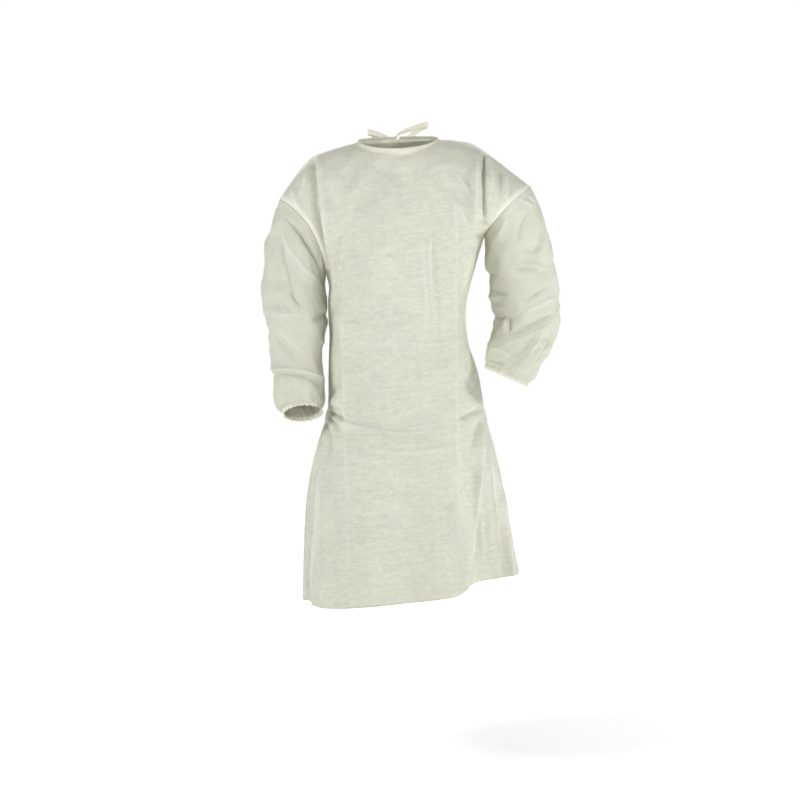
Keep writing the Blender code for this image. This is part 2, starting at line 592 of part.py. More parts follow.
# Body panels. The front runs from the wearer's right side seam to the left one. The back
# grid runs on from the left side seam to the right one and gives two panels, which meet at
# the nape and pass each other further down, the right one under the left one.
front = body_grid("front")
back = body_grid("back")
row_count, column_count = back.shape[:2]
middle = (column_count - 1) // 2
armpit_row = len(ROW_STATIONS) - 1
from_top = 1.0 - np.arange(row_count) / (row_count - 1.0)
passing = OVERLAP_COLS * smooth_step(from_top / OVERLAP_SHARE)
passing[-1] = -NECK_SPLIT
kept = middle + OVERLAP_COLS
back_left = back_panel(back, middle + passing, kept)
sink_from = middle - UNDER_START - passing
under = smooth_step((np.arange(column_count)[None, :] - sink_from[:, None]) / UNDER_REACH)
under[-1] = 0.0
turned = back[:, ::-1]
sunk = turned - grid_normals(back)[:, ::-1] * (OVERLAP_DROP * under)[:, :, None]
back_right = back_panel(sunk, middle + passing, kept)[:, ::-1]

# Sleeves, and the neck binding on the top edges of the three body panels.
right_sleeve = sleeve_grid(SLEEVE_RIGHT, SLEEVE_FOLDS_RIGHT, False)
left_sleeve = sleeve_grid(SLEEVE_LEFT, SLEEVE_FOLDS_LEFT, True)
neck_end = SHOULDER_COLS + NECK_COLS
right_neck = kept - SHOULDER_COLS
neck_edge = np.concatenate([
    back_right[-1, :right_neck],
    front[-1, SHOULDER_COLS:neck_end],
    back_left[-1, SHOULDER_COLS:],
])
to_middle = neck_edge.mean(axis=0) - neck_edge
to_middle[:, 2] = 0.0
rise = normalised(normalised(to_middle) * BINDING_LEAN + np.array([0.0, 0.0, BINDING_RISE]))
binding = np.stack([neck_edge, neck_edge + rise * BINDING_HEIGHT])

# Seams: every pair of borders is trimmed back to leave the gap.
grids = {"front": front, "left": back_left, "right": back_right, "binding": binding,
         "sleeve_left": left_sleeve, "sleeve_right": right_sleeve}
facing = {name: (tube_normals(grid) if name.startswith("sleeve") else grid_normals(grid))
          for name, grid in grids.items()}
shift = {name: np.zeros_like(grid) for name, grid in grids.items()}
side_rows = range(armpit_row + 1)
arm_rows = range(armpit_row, row_count)
half_ring = range(LOOP_STEPS + 1)
rest_ring = range(LOOP_STEPS, 2 * LOOP_STEPS + 1)
neck_right = len(binding[0]) - (kept - SHOULDER_COLS) - 1 - NECK_COLS
neck_left = neck_right + NECK_COLS
SEAMS = (
    ("front", "first", side_rows, "right", "last", side_rows, False, False),
    ("front", "last", side_rows, "left", "first", side_rows, False, False),
    ("front", "top", range(SHOULDER_COLS + 1),
     "right", "top", range(kept - SHOULDER_COLS, kept + 1), True, False),
    ("front", "top", range(neck_end, column_count),
     "left", "top", range(SHOULDER_COLS + 1), True, False),
    ("front", "first", arm_rows, "sleeve_right", "low", half_ring, False, True),
    ("right", "last", arm_rows, "sleeve_right", "low", rest_ring, True, True),
    ("left", "first", arm_rows, "sleeve_left", "low", half_ring, False, True),
    ("front", "last", arm_rows, "sleeve_left", "low", rest_ring, True, True),
    ("right", "top", range(right_neck + 1),
     "binding", "low", range(right_neck + 1), False, True),
    ("front", "top", range(SHOULDER_COLS, neck_end + 1),
     "binding", "low", range(neck_right, neck_left + 1), False, True),
    ("left", "top", range(SHOULDER_COLS, kept + 1),
     "binding", "low", range(neck_left, len(binding[0])), False, True),
)
for one, one_side, one_keep, two, two_side, two_keep, backwards, halve in SEAMS:
    part_seam(
        shift[one], border(grids[one], facing[one], one_side, one_keep),
        shift[two], border(grids[two], facing[two], two_side, two_keep, backwards), halve)
trimmed = {name: grids[name] + shift[name] for name in grids}

# Elastic cuffs: a narrow ring that goes on from the last ring of each sleeve, with one small
# gather to every column of the sleeve.
cuffs = {}
for side in ("sleeve_left", "sleeve_right"):
    grid = grids[side]
    run = normalised(grid[-1] - grid[-2])
    trimmed[side][-1] = grid[-1] - run * CUFF_GAP
    doubled = np.stack([grid[-1], 0.5 * (grid[-1] + np.roll(grid[-1], -1, axis=0))], axis=1)
    edge = doubled.reshape(-1, 3)
    turned_run = np.stack([run, normalised(run + np.roll(run, -1, axis=0))], axis=1)
    turned_run = turned_run.reshape(-1, 3)
    axis = normalised(np.mean(turned_run, axis=0))
    outward_run = normalised(edge - edge.mean(axis=0))
    ripple = CUFF_RIPPLE * np.where(np.arange(len(edge)) % 2 == 0, 1.0, -1.0)[:, None]
    mean_run = 0.5 * (turned_run + axis)
    middle_ring = edge + turned_run * (CUFF_FIRST * CUFF_HEIGHT)
    last_ring = middle_ring + mean_run * ((1.0 - CUFF_FIRST) * CUFF_HEIGHT)
    cuffs[side] = np.array([
        edge + turned_run * CUFF_GAP,
        middle_ring + outward_run * (0.3 * ripple),
        last_ring + outward_run * ripple,
    ])

# Waist ties: each follows the outside of the back from its side seam to the middle, crosses
# the other one there and hangs down.
tie_rows = slice(TIE_ROWS[0], TIE_ROWS[1] + 1)
tie_base = back[tie_rows] + (grid_normals(back) * GAP)[tie_rows]
middle_x = back[TIE_ROWS[0], middle, 0]


def back_depth(x, z):
    """How far back the cloth of the back lies at a place seen from behind."""
    depths = [np.interp(x, row[::-1, 0], row[::-1, 1]) for row in back]
    heights = [np.interp(x, row[::-1, 0], row[::-1, 2]) for row in back]
    return np.interp(z, heights, depths)


def waist_end(table, count):
    """The free part of a waist tie, standing off the middle of the back at every height."""
    rows = []
    for values in table:
        row = dict(zip(WAIST_TIE_COLUMNS, values))
        x = middle_x + row["x"]
        half_width = 0.5 * row["width"]
        depth = max(back_depth(place, row["z"]) for place in (x - half_width, x, x + half_width))
        rows.append((x, depth + row["out"], row["z"],
                     row["width_x"], 0.0, row["width_z"], row["width"]))
    return widened(rows, count)


left_end = waist_end(WAIST_TIE_LEFT_END, TIE_STEPS)
right_end = waist_end(WAIST_TIE_RIGHT_END, TIE_STEPS)
waist_tie_left = np.concatenate([tie_base[:, :middle - 1], left_end], axis=1)
waist_tie_right = np.concatenate([right_end[:, ::-1], tie_base[:, middle + 1:]], axis=1)

PIECES = (
    ("front_panel", trimmed["front"], False, WALL, FABRIC_RGB, False),
    ("back_panel_left", trimmed["left"], False, WALL, FABRIC_RGB, False),
    ("back_panel_right", trimmed["right"], False, WALL, FABRIC_RGB, False),
    ("sleeve_left", trimmed["sleeve_left"], True, WALL, FABRIC_RGB, False),
    ("sleeve_right", trimmed["sleeve_right"], True, WALL, FABRIC_RGB, False),
    ("cuff_elastic_left", cuffs["sleeve_left"], True, WALL, FABRIC_RGB, False),
    ("cuff_elastic_right", cuffs["sleeve_right"], True, WALL, FABRIC_RGB, False),
    ("neck_binding", trimmed["binding"], False, WALL, BINDING_RGB, False),
    ("waist_tie_left", waist_tie_left, False, TRIM_WALL, FABRIC_RGB, True),
    ("waist_tie_right", waist_tie_right, False, TRIM_WALL, FABRIC_RGB, True),
    ("neck_tie_left", widened(NECK_TIE_LEFT, TIE_STEPS), False, TRIM_WALL, BINDING_RGB, False),
    ("neck_tie_right", widened(NECK_TIE_RIGHT, TIE_STEPS), False, TRIM_WALL, BINDING_RGB, True),
)
for name, grid, closed, wall, colour, outward in PIECES:
    cloth_object(name, grid, closed, wall, colour, outward)
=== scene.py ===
import math

import bpy
import numpy as np
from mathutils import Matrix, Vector, noise


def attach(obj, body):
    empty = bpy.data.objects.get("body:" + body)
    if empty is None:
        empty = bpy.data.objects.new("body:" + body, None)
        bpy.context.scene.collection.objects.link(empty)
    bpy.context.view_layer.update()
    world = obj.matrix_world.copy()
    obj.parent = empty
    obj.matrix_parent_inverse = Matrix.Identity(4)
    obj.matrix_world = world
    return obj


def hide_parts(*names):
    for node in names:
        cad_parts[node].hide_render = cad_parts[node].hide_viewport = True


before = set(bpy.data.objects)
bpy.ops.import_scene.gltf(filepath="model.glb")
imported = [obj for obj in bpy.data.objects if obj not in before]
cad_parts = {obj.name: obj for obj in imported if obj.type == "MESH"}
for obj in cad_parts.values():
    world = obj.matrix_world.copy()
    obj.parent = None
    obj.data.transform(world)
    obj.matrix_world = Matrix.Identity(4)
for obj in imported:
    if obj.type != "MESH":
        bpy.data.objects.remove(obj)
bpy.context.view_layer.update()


# Camera, light and floor.
# The camera stands where the photograph was taken: a long lens four metres away, at the height
# of the waist, tipped a little down. Four soft lamps stand round the gown, in a room that is
# white to the camera but gives little light, and the floor turns white away from the middle.
CAMERA_PLACE = (0.0045, -4.0, -0.40)
CAMERA_TIP = 2.65                   # degrees
CAMERA_LENS = 80.0                  # millimetres, as is the width of the sensor
SENSOR_WIDTH = 36.0
LAMPS = (
    # name, place, size, watts
    ("key_softbox", (-2.6, -1.7, 1.6), 0.8, 61.0),
    ("front_softbox", (0.9, -4.0, 0.7), 2.0, 27.0),
    ("side_softbox", (2.7, -1.2, 0.4), 0.8, 38.0),
    ("back_softbox", (0.2, 2.6, 1.2), 2.0, 34.0),
)
LAMPS_AIM = (0.0, 0.0, -0.5)
ROOM_LIGHT = 0.18
WHITE = (1.0, 1.0, 1.0, 1.0)
FLOOR_HEIGHT = -1.42
FLOOR_HALF = 7.0
FLOOR_COLOUR = (0.88, 0.88, 0.88, 1.0)
FLOOR_FADE = (0.8, 3.5)             # metres from the middle over which the floor turns white
FLOOR_GLOW = (0.30, 0.95)


def placed(name, data):
    """A new object in the scene, made from its data."""
    thing = bpy.data.objects.new(name, data)
    bpy.context.scene.collection.objects.link(thing)
    return thing


class Shade:
    """One value of a finish in the making; Python arithmetic on it adds its Math nodes."""

    def __init__(self, finish, socket):
        self.finish = finish
        self.socket = socket

    def combined(self, operation, first, second):
        return self.finish.add("ShaderNodeMath", {"operation": operation}, {0: first, 1: second})

    def __add__(self, other):
        return self.combined("ADD", self, other)

    def __radd__(self, other):
        return self.combined("ADD", other, self)

    def __sub__(self, other):
        return self.combined("SUBTRACT", self, other)

    def __rsub__(self, other):
        return self.combined("SUBTRACT", other, self)

    def __mul__(self, other):
        return self.combined("MULTIPLY", self, other)

    def __truediv__(self, other):
        return self.combined("DIVIDE", self, other)

    def __pow__(self, other):
        return self.combined("POWER", self, other)


class Finish:
    """The nodes of a material, or of the room, in the making."""

    def __init__(self, owner):
        owner.use_nodes = True
        self.owner = owner
        self.tree = owner.node_tree
        self.tree.nodes.clear()

    def add(self, kind, settings, sockets, output=0):
        """Make a node from its type, its settings and the values or links of its sockets."""
        node = self.tree.nodes.new(kind)
        for key, value in settings.items():
            setattr(node, key, value)
        for key, value in sockets.items():
            if isinstance(value, Shade):
                self.tree.links.new(value.socket, node.inputs[key])
            else:
                node.inputs[key].default_value = value
        return Shade(self, node.outputs[output]) if len(node.outputs) else None

    def cloud(self, place, steps, detail):
        """Smooth random value from 0 to 1 whose blots have about the given sizes in metres."""
        stretched = self.add("ShaderNodeVectorMath", {"operation": "MULTIPLY"},
                             {0: place, 1: tuple(1.0 / step for step in steps)})
        return self.add("ShaderNodeTexNoise", {"noise_dimensions": "3D"},
                        {"Vector": stretched, "Scale": 1.0, "Detail": detail, "Roughness": 0.6},
                        "Fac")

    def parts(self, value):
        """The x, y and z of a vector."""
        first = self.add("ShaderNodeSeparateXYZ", {}, {0: value})
        return [Shade(self, output) for output in first.socket.node.outputs]

    def eased(self, value, low, high, start=0.0, end=1.0):
        """A value that goes smoothly from start to end as the given one goes from low to high."""
        return self.add("ShaderNodeMapRange", {"interpolation_type": "SMOOTHSTEP"},
                        {0: value, 1: low, 2: high, 3: start, 4: end})

    def clamped(self, value, times):
        """A value times a number, held between 0 and 1."""
        return self.add("ShaderNodeMath", {"operation": "MULTIPLY", "use_clamp": True},
                        {0: value, 1: times})

    def between(self, share, low, high):
        """A colour between two colours."""
        return self.add("ShaderNodeMix", {"data_type": "RGBA"}, {0: share, 6: low, 7: high}, 2)


camera_data = bpy.data.cameras.new("photo_camera")
camera_data.lens = CAMERA_LENS
camera_data.sensor_width = SENSOR_WIDTH
camera = placed("photo_camera", camera_data)
camera.location = CAMERA_PLACE
camera.rotation_euler = (math.radians(90.0 - CAMERA_TIP), 0.0, 0.0)
bpy.context.scene.camera = camera
bpy.context.scene.view_settings.view_transform = "Standard"

for name, place, size, watts in LAMPS:
    lamp_data = bpy.data.lights.new(name, "AREA")
    lamp_data.energy = watts
    lamp_data.size = size
    lamp = placed(name, lamp_data)
    lamp.location = place
    aim = Vector(LAMPS_AIM) - Vector(place)
    lamp.rotation_euler = aim.to_track_quat("-Z", "Y").to_euler()

room = Finish(bpy.data.worlds.new("pale_room"))
camera_ray = room.add("ShaderNodeLightPath", {}, {}, "Is Camera Ray")
lit, seen = (room.add("ShaderNodeBackground", {}, {"Color": WHITE, "Strength": strength})
             for strength in (ROOM_LIGHT, 1.0))
lit_or_seen = room.add("ShaderNodeMixShader", {}, {0: camera_ray, 1: lit, 2: seen})
room.add("ShaderNodeOutputWorld", {}, {"Surface": lit_or_seen})
bpy.context.scene.world = room.owner

floor_mesh = bpy.data.meshes.new("studio_floor")
floor_mesh.from_pydata([(x * FLOOR_HALF, y * FLOOR_HALF, FLOOR_HEIGHT)
                        for x, y in ((-1, -1), (1, -1), (1, 1), (-1, 1))], [], [(0, 1, 2, 3)])
floor_paint = Finish(bpy.data.materials.new("pale_floor"))
floor_place = floor_paint.add("ShaderNodeTexCoord", {}, {}, "Object")
from_middle = floor_paint.add(
    "ShaderNodeVectorMath", {"operation": "LENGTH"}, {0: floor_place}, "Value")
floor_surface = floor_paint.add("ShaderNodeBsdfPrincipled", {}, {
    "Base Color": FLOOR_COLOUR, "Roughness": 0.9, "Emission Strength": 1.0,
    "Emission Color": floor_paint.eased(from_middle, *FLOOR_FADE, *FLOOR_GLOW)})
floor_paint.add("ShaderNodeOutputMaterial", {}, {"Surface": floor_surface})
floor_mesh.materials.append(floor_paint.owner)
placed("studio_floor", floor_mesh)


# Finish of the cloth.
# Thin spunbonded nonwoven, pale yellow: random fibres that run mostly across the body, pressed
# together by small staggered bond points, a little cloudy, and lighter in tone where two layers
# lie together at a seam. Sharp creases get a painted highlight along their ridges and painted
# shade along their troughs.
CLOTH_MAP = "cloth_map"             # UV map, in metres on the flat cloth
DOUBLED = "doubled"                 # attribute: how much two layers lie together
# Attributes of the nearest upright crease and of the nearest level one, each of three numbers:
# metres to its line, strength of the line, strength of its crest. Line and crest are painted into
# the colour, as a highlight on ridges and as shade in troughs.
STEEP_LINES = "steep_lines"
LEVEL_LINES = "level_lines"
BLOTS = (
    # metres across and up, detail, share in the density, share in the relief
    (0.024, 0.0021, 2.0, 1.0, 0.5),         # streaks
    (0.070, 0.0100, 3.0, 0.9, 0.0),         # bands
    (0.014, 0.0080, 3.0, 1.4, 0.5),         # clouds
    (0.0065, 0.0005, 2.0, 0.9, 0.45),       # fibres
    (0.0009, 0.0042, 2.0, 0.0, 0.3),        # fibres that cross them
    (0.090, 0.110, 2.0, 0.5, 0.0),          # slow drift
)
BOND_PITCH = (0.0022, 0.0016)       # metres between bond points, across and up
BOND_EDGE = (0.62, 0.95)
BOND_THINNER = 0.10
BOND_DEPTH = 0.5
PLAIN_DENSITY = 0.55
SEAM_PALER = 0.9
LINE_WIDTH = 0.0011                 # half width of a sharp crease
# how strongly the line of a sharp ridge is painted as a highlight
LINE_HIGHLIGHT = 0.7
LINE_SHADE = 0.5                   # the same for the painted shade of a trough
# how much a crease's crest adds to its painted highlight and painted shade
CREST_SHARE = 0.5
# colour of the painted highlight along crease ridges
CREASE_HIGHLIGHT_COLOUR = (0.960, 0.955, 0.880, 1.0)
SEAM_HOLDS = 0.5                    # share of the light let through that a seam holds back
DENSE_HOLDS = 0.08


def nonwoven(name, colour, thick_colour, thin_and_painted_shade_colour, unevenness, see_through):
    """Nonwoven cloth: streaks and clouds of fibre, bond points, a share of light let through, and
    painted highlight and shade along creases.
    """
    finish = Finish(bpy.data.materials.new(name))
    place = finish.add("ShaderNodeUVMap", {"uv_map": CLOTH_MAP}, {})
    doubled = finish.add("ShaderNodeAttribute", {"attribute_name": DOUBLED}, {}, "Fac")
    density = 0.0
    relief = 0.0
    for across_step, up_step, detail, dense, high in BLOTS:
        blot = finish.cloud(place, (across_step, up_step, 1.0), detail)
        density = density + (blot - 0.5) * dense
        relief = relief + blot * high
    across_wave, up_wave = (
        finish.add("ShaderNodeMath", {"operation": "SINE"}, {0: run * (math.pi / pitch)})
        for run, pitch in zip(finish.parts(place), BOND_PITCH))
    even = across_wave * up_wave
    bond = finish.eased(even * even, *BOND_EDGE)
    drawn = []
    crests = []
    for attribute in (STEEP_LINES, LEVEL_LINES):
        line = finish.add("ShaderNodeAttribute", {"attribute_name": attribute}, {}, "Vector")
        distance, strength, crest = finish.parts(line)
        fraction = distance / LINE_WIDTH
        drawn.append(strength / (1.0 + fraction * fraction) ** 1.5)
        crests.append(crest)
    ridge = drawn[0] + drawn[1]
    crest = (crests[0] + crests[1]) * CREST_SHARE
    density = finish.clamped(density * unevenness + PLAIN_DENSITY - bond * BOND_THINNER, 1.0)
    cloth_colour = finish.between(density, thin_and_painted_shade_colour, colour)
    cloth_colour = finish.between(doubled * SEAM_PALER, cloth_colour, thick_colour)
    # Painted highlight along the lines of crease ridges, painted shade along those of troughs.
    painted_highlight = finish.clamped(ridge * LINE_HIGHLIGHT + crest, 1.0)
    cloth_colour = finish.between(painted_highlight, cloth_colour, CREASE_HIGHLIGHT_COLOUR)
    # The thin-cloth colour also serves as the painted shade in crease troughs.
    painted_shade = finish.clamped(ridge * LINE_SHADE + crest, -1.0)
    cloth_colour = finish.between(painted_shade, cloth_colour, thin_and_painted_shade_colour)
    bump = finish.add("ShaderNodeBump", {}, {
        "Height": relief - bond * BOND_DEPTH, "Strength": 0.8, "Distance": 0.0006})
    bump = finish.add("ShaderNodeBump", {}, {
        "Height": ridge, "Strength": 0.9, "Distance": 0.0009, "Normal": bump})
    front = finish.add("ShaderNodeBsdfPrincipled", {}, {
        "Base Color": cloth_colour, "Roughness": 0.80, "Specular IOR Level": 0.28,
        "Sheen Weight": 0.10, "Sheen Roughness": 0.55, "Normal": bump})
    through = finish.add("ShaderNodeBsdfTranslucent", {}, {"Color": cloth_colour, "Normal": bump})
    share = see_through - doubled * (SEAM_HOLDS * see_through) + (density - 0.5) * -DENSE_HOLDS
    surface = finish.add("ShaderNodeMixShader", {}, {0: share, 1: front, 2: through})
    finish.add("ShaderNodeOutputMaterial", {}, {"Surface": surface})
    return finish.owner


# colour, colour where it is doubled, colour where it is thin, which is also the painted shade in
# crease troughs
GOWN_COLOURS = (
    (0.852, 0.851, 0.720, 1.0), (0.892, 0.888, 0.760, 1.0), (0.720, 0.726, 0.628, 1.0))
BINDING_COLOURS = (
    (0.880, 0.872, 0.735, 1.0), (0.900, 0.892, 0.760, 1.0), (0.800, 0.792, 0.650, 1.0))
GOWN_CLOTH = nonwoven("pale_yellow_nonwoven", *GOWN_COLOURS, 1.30, 0.20)
SLEEVE_CLOTH = nonwoven("pale_yellow_nonwoven_sleeve", *GOWN_COLOURS, 0.60, 0.24)
BINDING_CLOTH = nonwoven("cream_binding_nonwoven", *BINDING_COLOURS, 0.60, 0.12)


# Front panel.
# One cut of nonwoven from side seam to side seam, hanging from the shoulders: flat over the
# chest, drawn in at the waist by the ties, spread at the hem, with one deep pleat where the
# left side of the skirt is raised. Sharp lines are left by the folding in its packet.
FINE = 6                            # mesh columns to one column of the CAD panels
FINE_UP = 12                        # mesh rows to one row of the CAD panels below the armpits
SHOULDER_COLS = 9 * FINE
NECK_COLS = 14 * FINE
LOOP_STEPS = 10 * FINE              # mesh rows from the armpits to the shoulders
SECTION_POINTS = 961                # points of a plan section before it is evened out
NECK_POINTS = 481
WALL = 0.0006
PLEAT_REACH = 0.066
TUCK_REACH = 0.015
RELAX_PASSES = 8 * FINE * FINE
RELAX_UP = 3.0                      # CAD rows above the armpits over which the evening sets in
RELAX_ACROSS = 4.0                  # and CAD columns from the sides
LEAVE_ARMPITS = 1.05                # how straight the yoke leaves the armpits
REACH_SHOULDERS = 0.62              # and how straight it comes to the shoulders
OVER_SHOULDER = (0.99, 0.10)        # inward and up, where it comes to the shoulder seams
INTO_NECK = (0.55, 0.80)            # and to the neck
NECK_START = 0.26
ARMHOLE_REACH = 0.34
BELOW_ARMPITS = 0.15

# Plan sections of the body from the armpits to the hem, as the CAD has them.
SECTION_COLUMNS = (
    "z_right", "z_left", "x_right", "x_left", "y_right", "y_left",
    "y_front", "y_back", "power", "drop", "pleat_x", "pleat", "tuck",
)
SECTIONS = (
    (-0.2975, -0.2147, -0.1625, 0.194, 0.0, 0.0, -0.136, 0.112, 2.3, 0.0, 0.16, 0.0, 0.0),
    (-0.35, -0.285, -0.146, 0.1735, 0.0, 0.0, -0.139, 0.11, 2.4, 0.0, 0.16, 0.0, 0.0),
    (-0.42, -0.37, -0.15, 0.153, 0.0, 0.0, -0.133, 0.108, 2.4, 0.0, 0.16, 0.0, 0.0),
    (-0.49, -0.45, -0.156, 0.157, 0.0, 0.0, -0.13, 0.11, 2.4, 0.0, 0.16, 0.0, 0.0),
    (-0.56, -0.54, -0.1565, 0.183, 0.0, 0.0, -0.134, 0.122, 2.5, 0.0, 0.165, 0.0, 0.0),
    (-0.62, -0.62, -0.161, 0.197, 0.0, 0.0, -0.14, 0.132, 2.6, 0.0, 0.17, 0.0, 0.0),
    (-0.7, -0.695, -0.185, 0.2185, 0.0, 0.02, -0.146, 0.143, 2.8, 0.0, 0.18, 0.02, 0.01),
    (-0.8, -0.78, -0.206, 0.2375, 0.02, 0.04, -0.154, 0.155, 2.9, -0.003, 0.192, 0.075, 0.04),
    (-0.92, -0.88, -0.214, 0.256, 0.03, 0.06, -0.163, 0.165, 2.9, -0.006, 0.203, 0.135, 0.07),
    (-1.034, -0.978, -0.218, 0.2775, 0.05, 0.08, -0.171, 0.172, 2.9, -0.012, 0.213, 0.185, 0.11),
)
ROW_STATIONS = (9.0, 8.3, 7.6, 7.0, 6.4, 5.8, 5.16, 4.84, 4.2, 3.5, 2.8, 2.1, 1.4, 0.7, 0.0)
BODY_ROWS = (len(ROW_STATIONS) - 1) * FINE_UP
POINT_COLUMNS = ("x", "y", "z")
SHOULDER_RIGHT = (
    (-0.0895, 0.0, -0.008),
    (-0.1409, -0.002, -0.0225),
    (-0.188, -0.003, -0.04),
    (-0.215, -0.003, -0.065),
    (-0.242, -0.002, -0.101),
    (-0.2643, 0.0, -0.1343),
)
SHOULDER_LEFT = (
    (0.0895, 0.0, -0.002),
    (0.1278, -0.002, -0.0045),
    (0.1678, -0.003, -0.013),
    (0.2082, -0.003, -0.0395),
    (0.253, -0.002, -0.075),
    (0.2968, 0.0, -0.1076),
)
NECK_FRONT = (0.0, -0.078, -0.034)
NECK_BACK = (0.0, 0.070, 0.006)
# Sleeve rings from the armhole to the cuff; the first row of each is the armhole.
RING_COLUMNS = (
    "outer_x", "outer_z", "inner_x", "inner_z", "y", "depth", "front_up", "bow",
)
RINGS_RIGHT = (
    (-0.2643, -0.1343, -0.1625, -0.2975, 0.0, 0.075, 0.0, 0.024),
    (-0.2958, -0.225, -0.1615, -0.315, -0.002, 0.082, 0.0, 0.012),
    (-0.303, -0.326, -0.16, -0.34, -0.008, 0.085, 0.0, 0.0),
    (-0.2955, -0.404, -0.166, -0.41, -0.018, 0.08, 0.0, 0.0),
    (-0.289, -0.472, -0.1715, -0.474, -0.026, 0.075, 0.0, 0.0),
    (-0.2845, -0.512, -0.1665, -0.524, -0.031, 0.073, 0.004, 0.0),
    (-0.28, -0.533, -0.1635, -0.548, -0.034, 0.067, 0.004, 0.0),
    (-0.2795, -0.575, -0.164, -0.58, -0.038, 0.066, 0.006, 0.0),
    (-0.271, -0.599, -0.1655, -0.592, -0.046, 0.054, 0.012, 0.0),
    (-0.258, -0.608, -0.1705, -0.6, -0.049, 0.043, 0.02, 0.0),
)
RINGS_LEFT = (
    (0.2968, -0.1076, 0.194, -0.2147, 0.0, 0.09, 0.0, 0.007),
    (0.329, -0.186, 0.196, -0.246, 0.005, 0.086, 0.0, 0.003),
    (0.347, -0.249, 0.1955, -0.278, 0.01, 0.08, 0.0, 0.0),
    (0.361, -0.324, 0.206, -0.326, 0.02, 0.074, 0.0, 0.0),
    (0.368, -0.389, 0.211, -0.38, 0.025, 0.07, 0.0, 0.0),
    (0.356, -0.447, 0.215, -0.418, 0.005, 0.066, 0.0, 0.0),
    (0.335, -0.483, 0.209, -0.452, -0.02, 0.062, 0.0, 0.0),
    (0.308, -0.519, 0.199, -0.48, -0.05, 0.056, 0.0, 0.0),
    (0.288, -0.545, 0.1942, -0.5035, -0.072, 0.05, 0.0, 0.0),
)

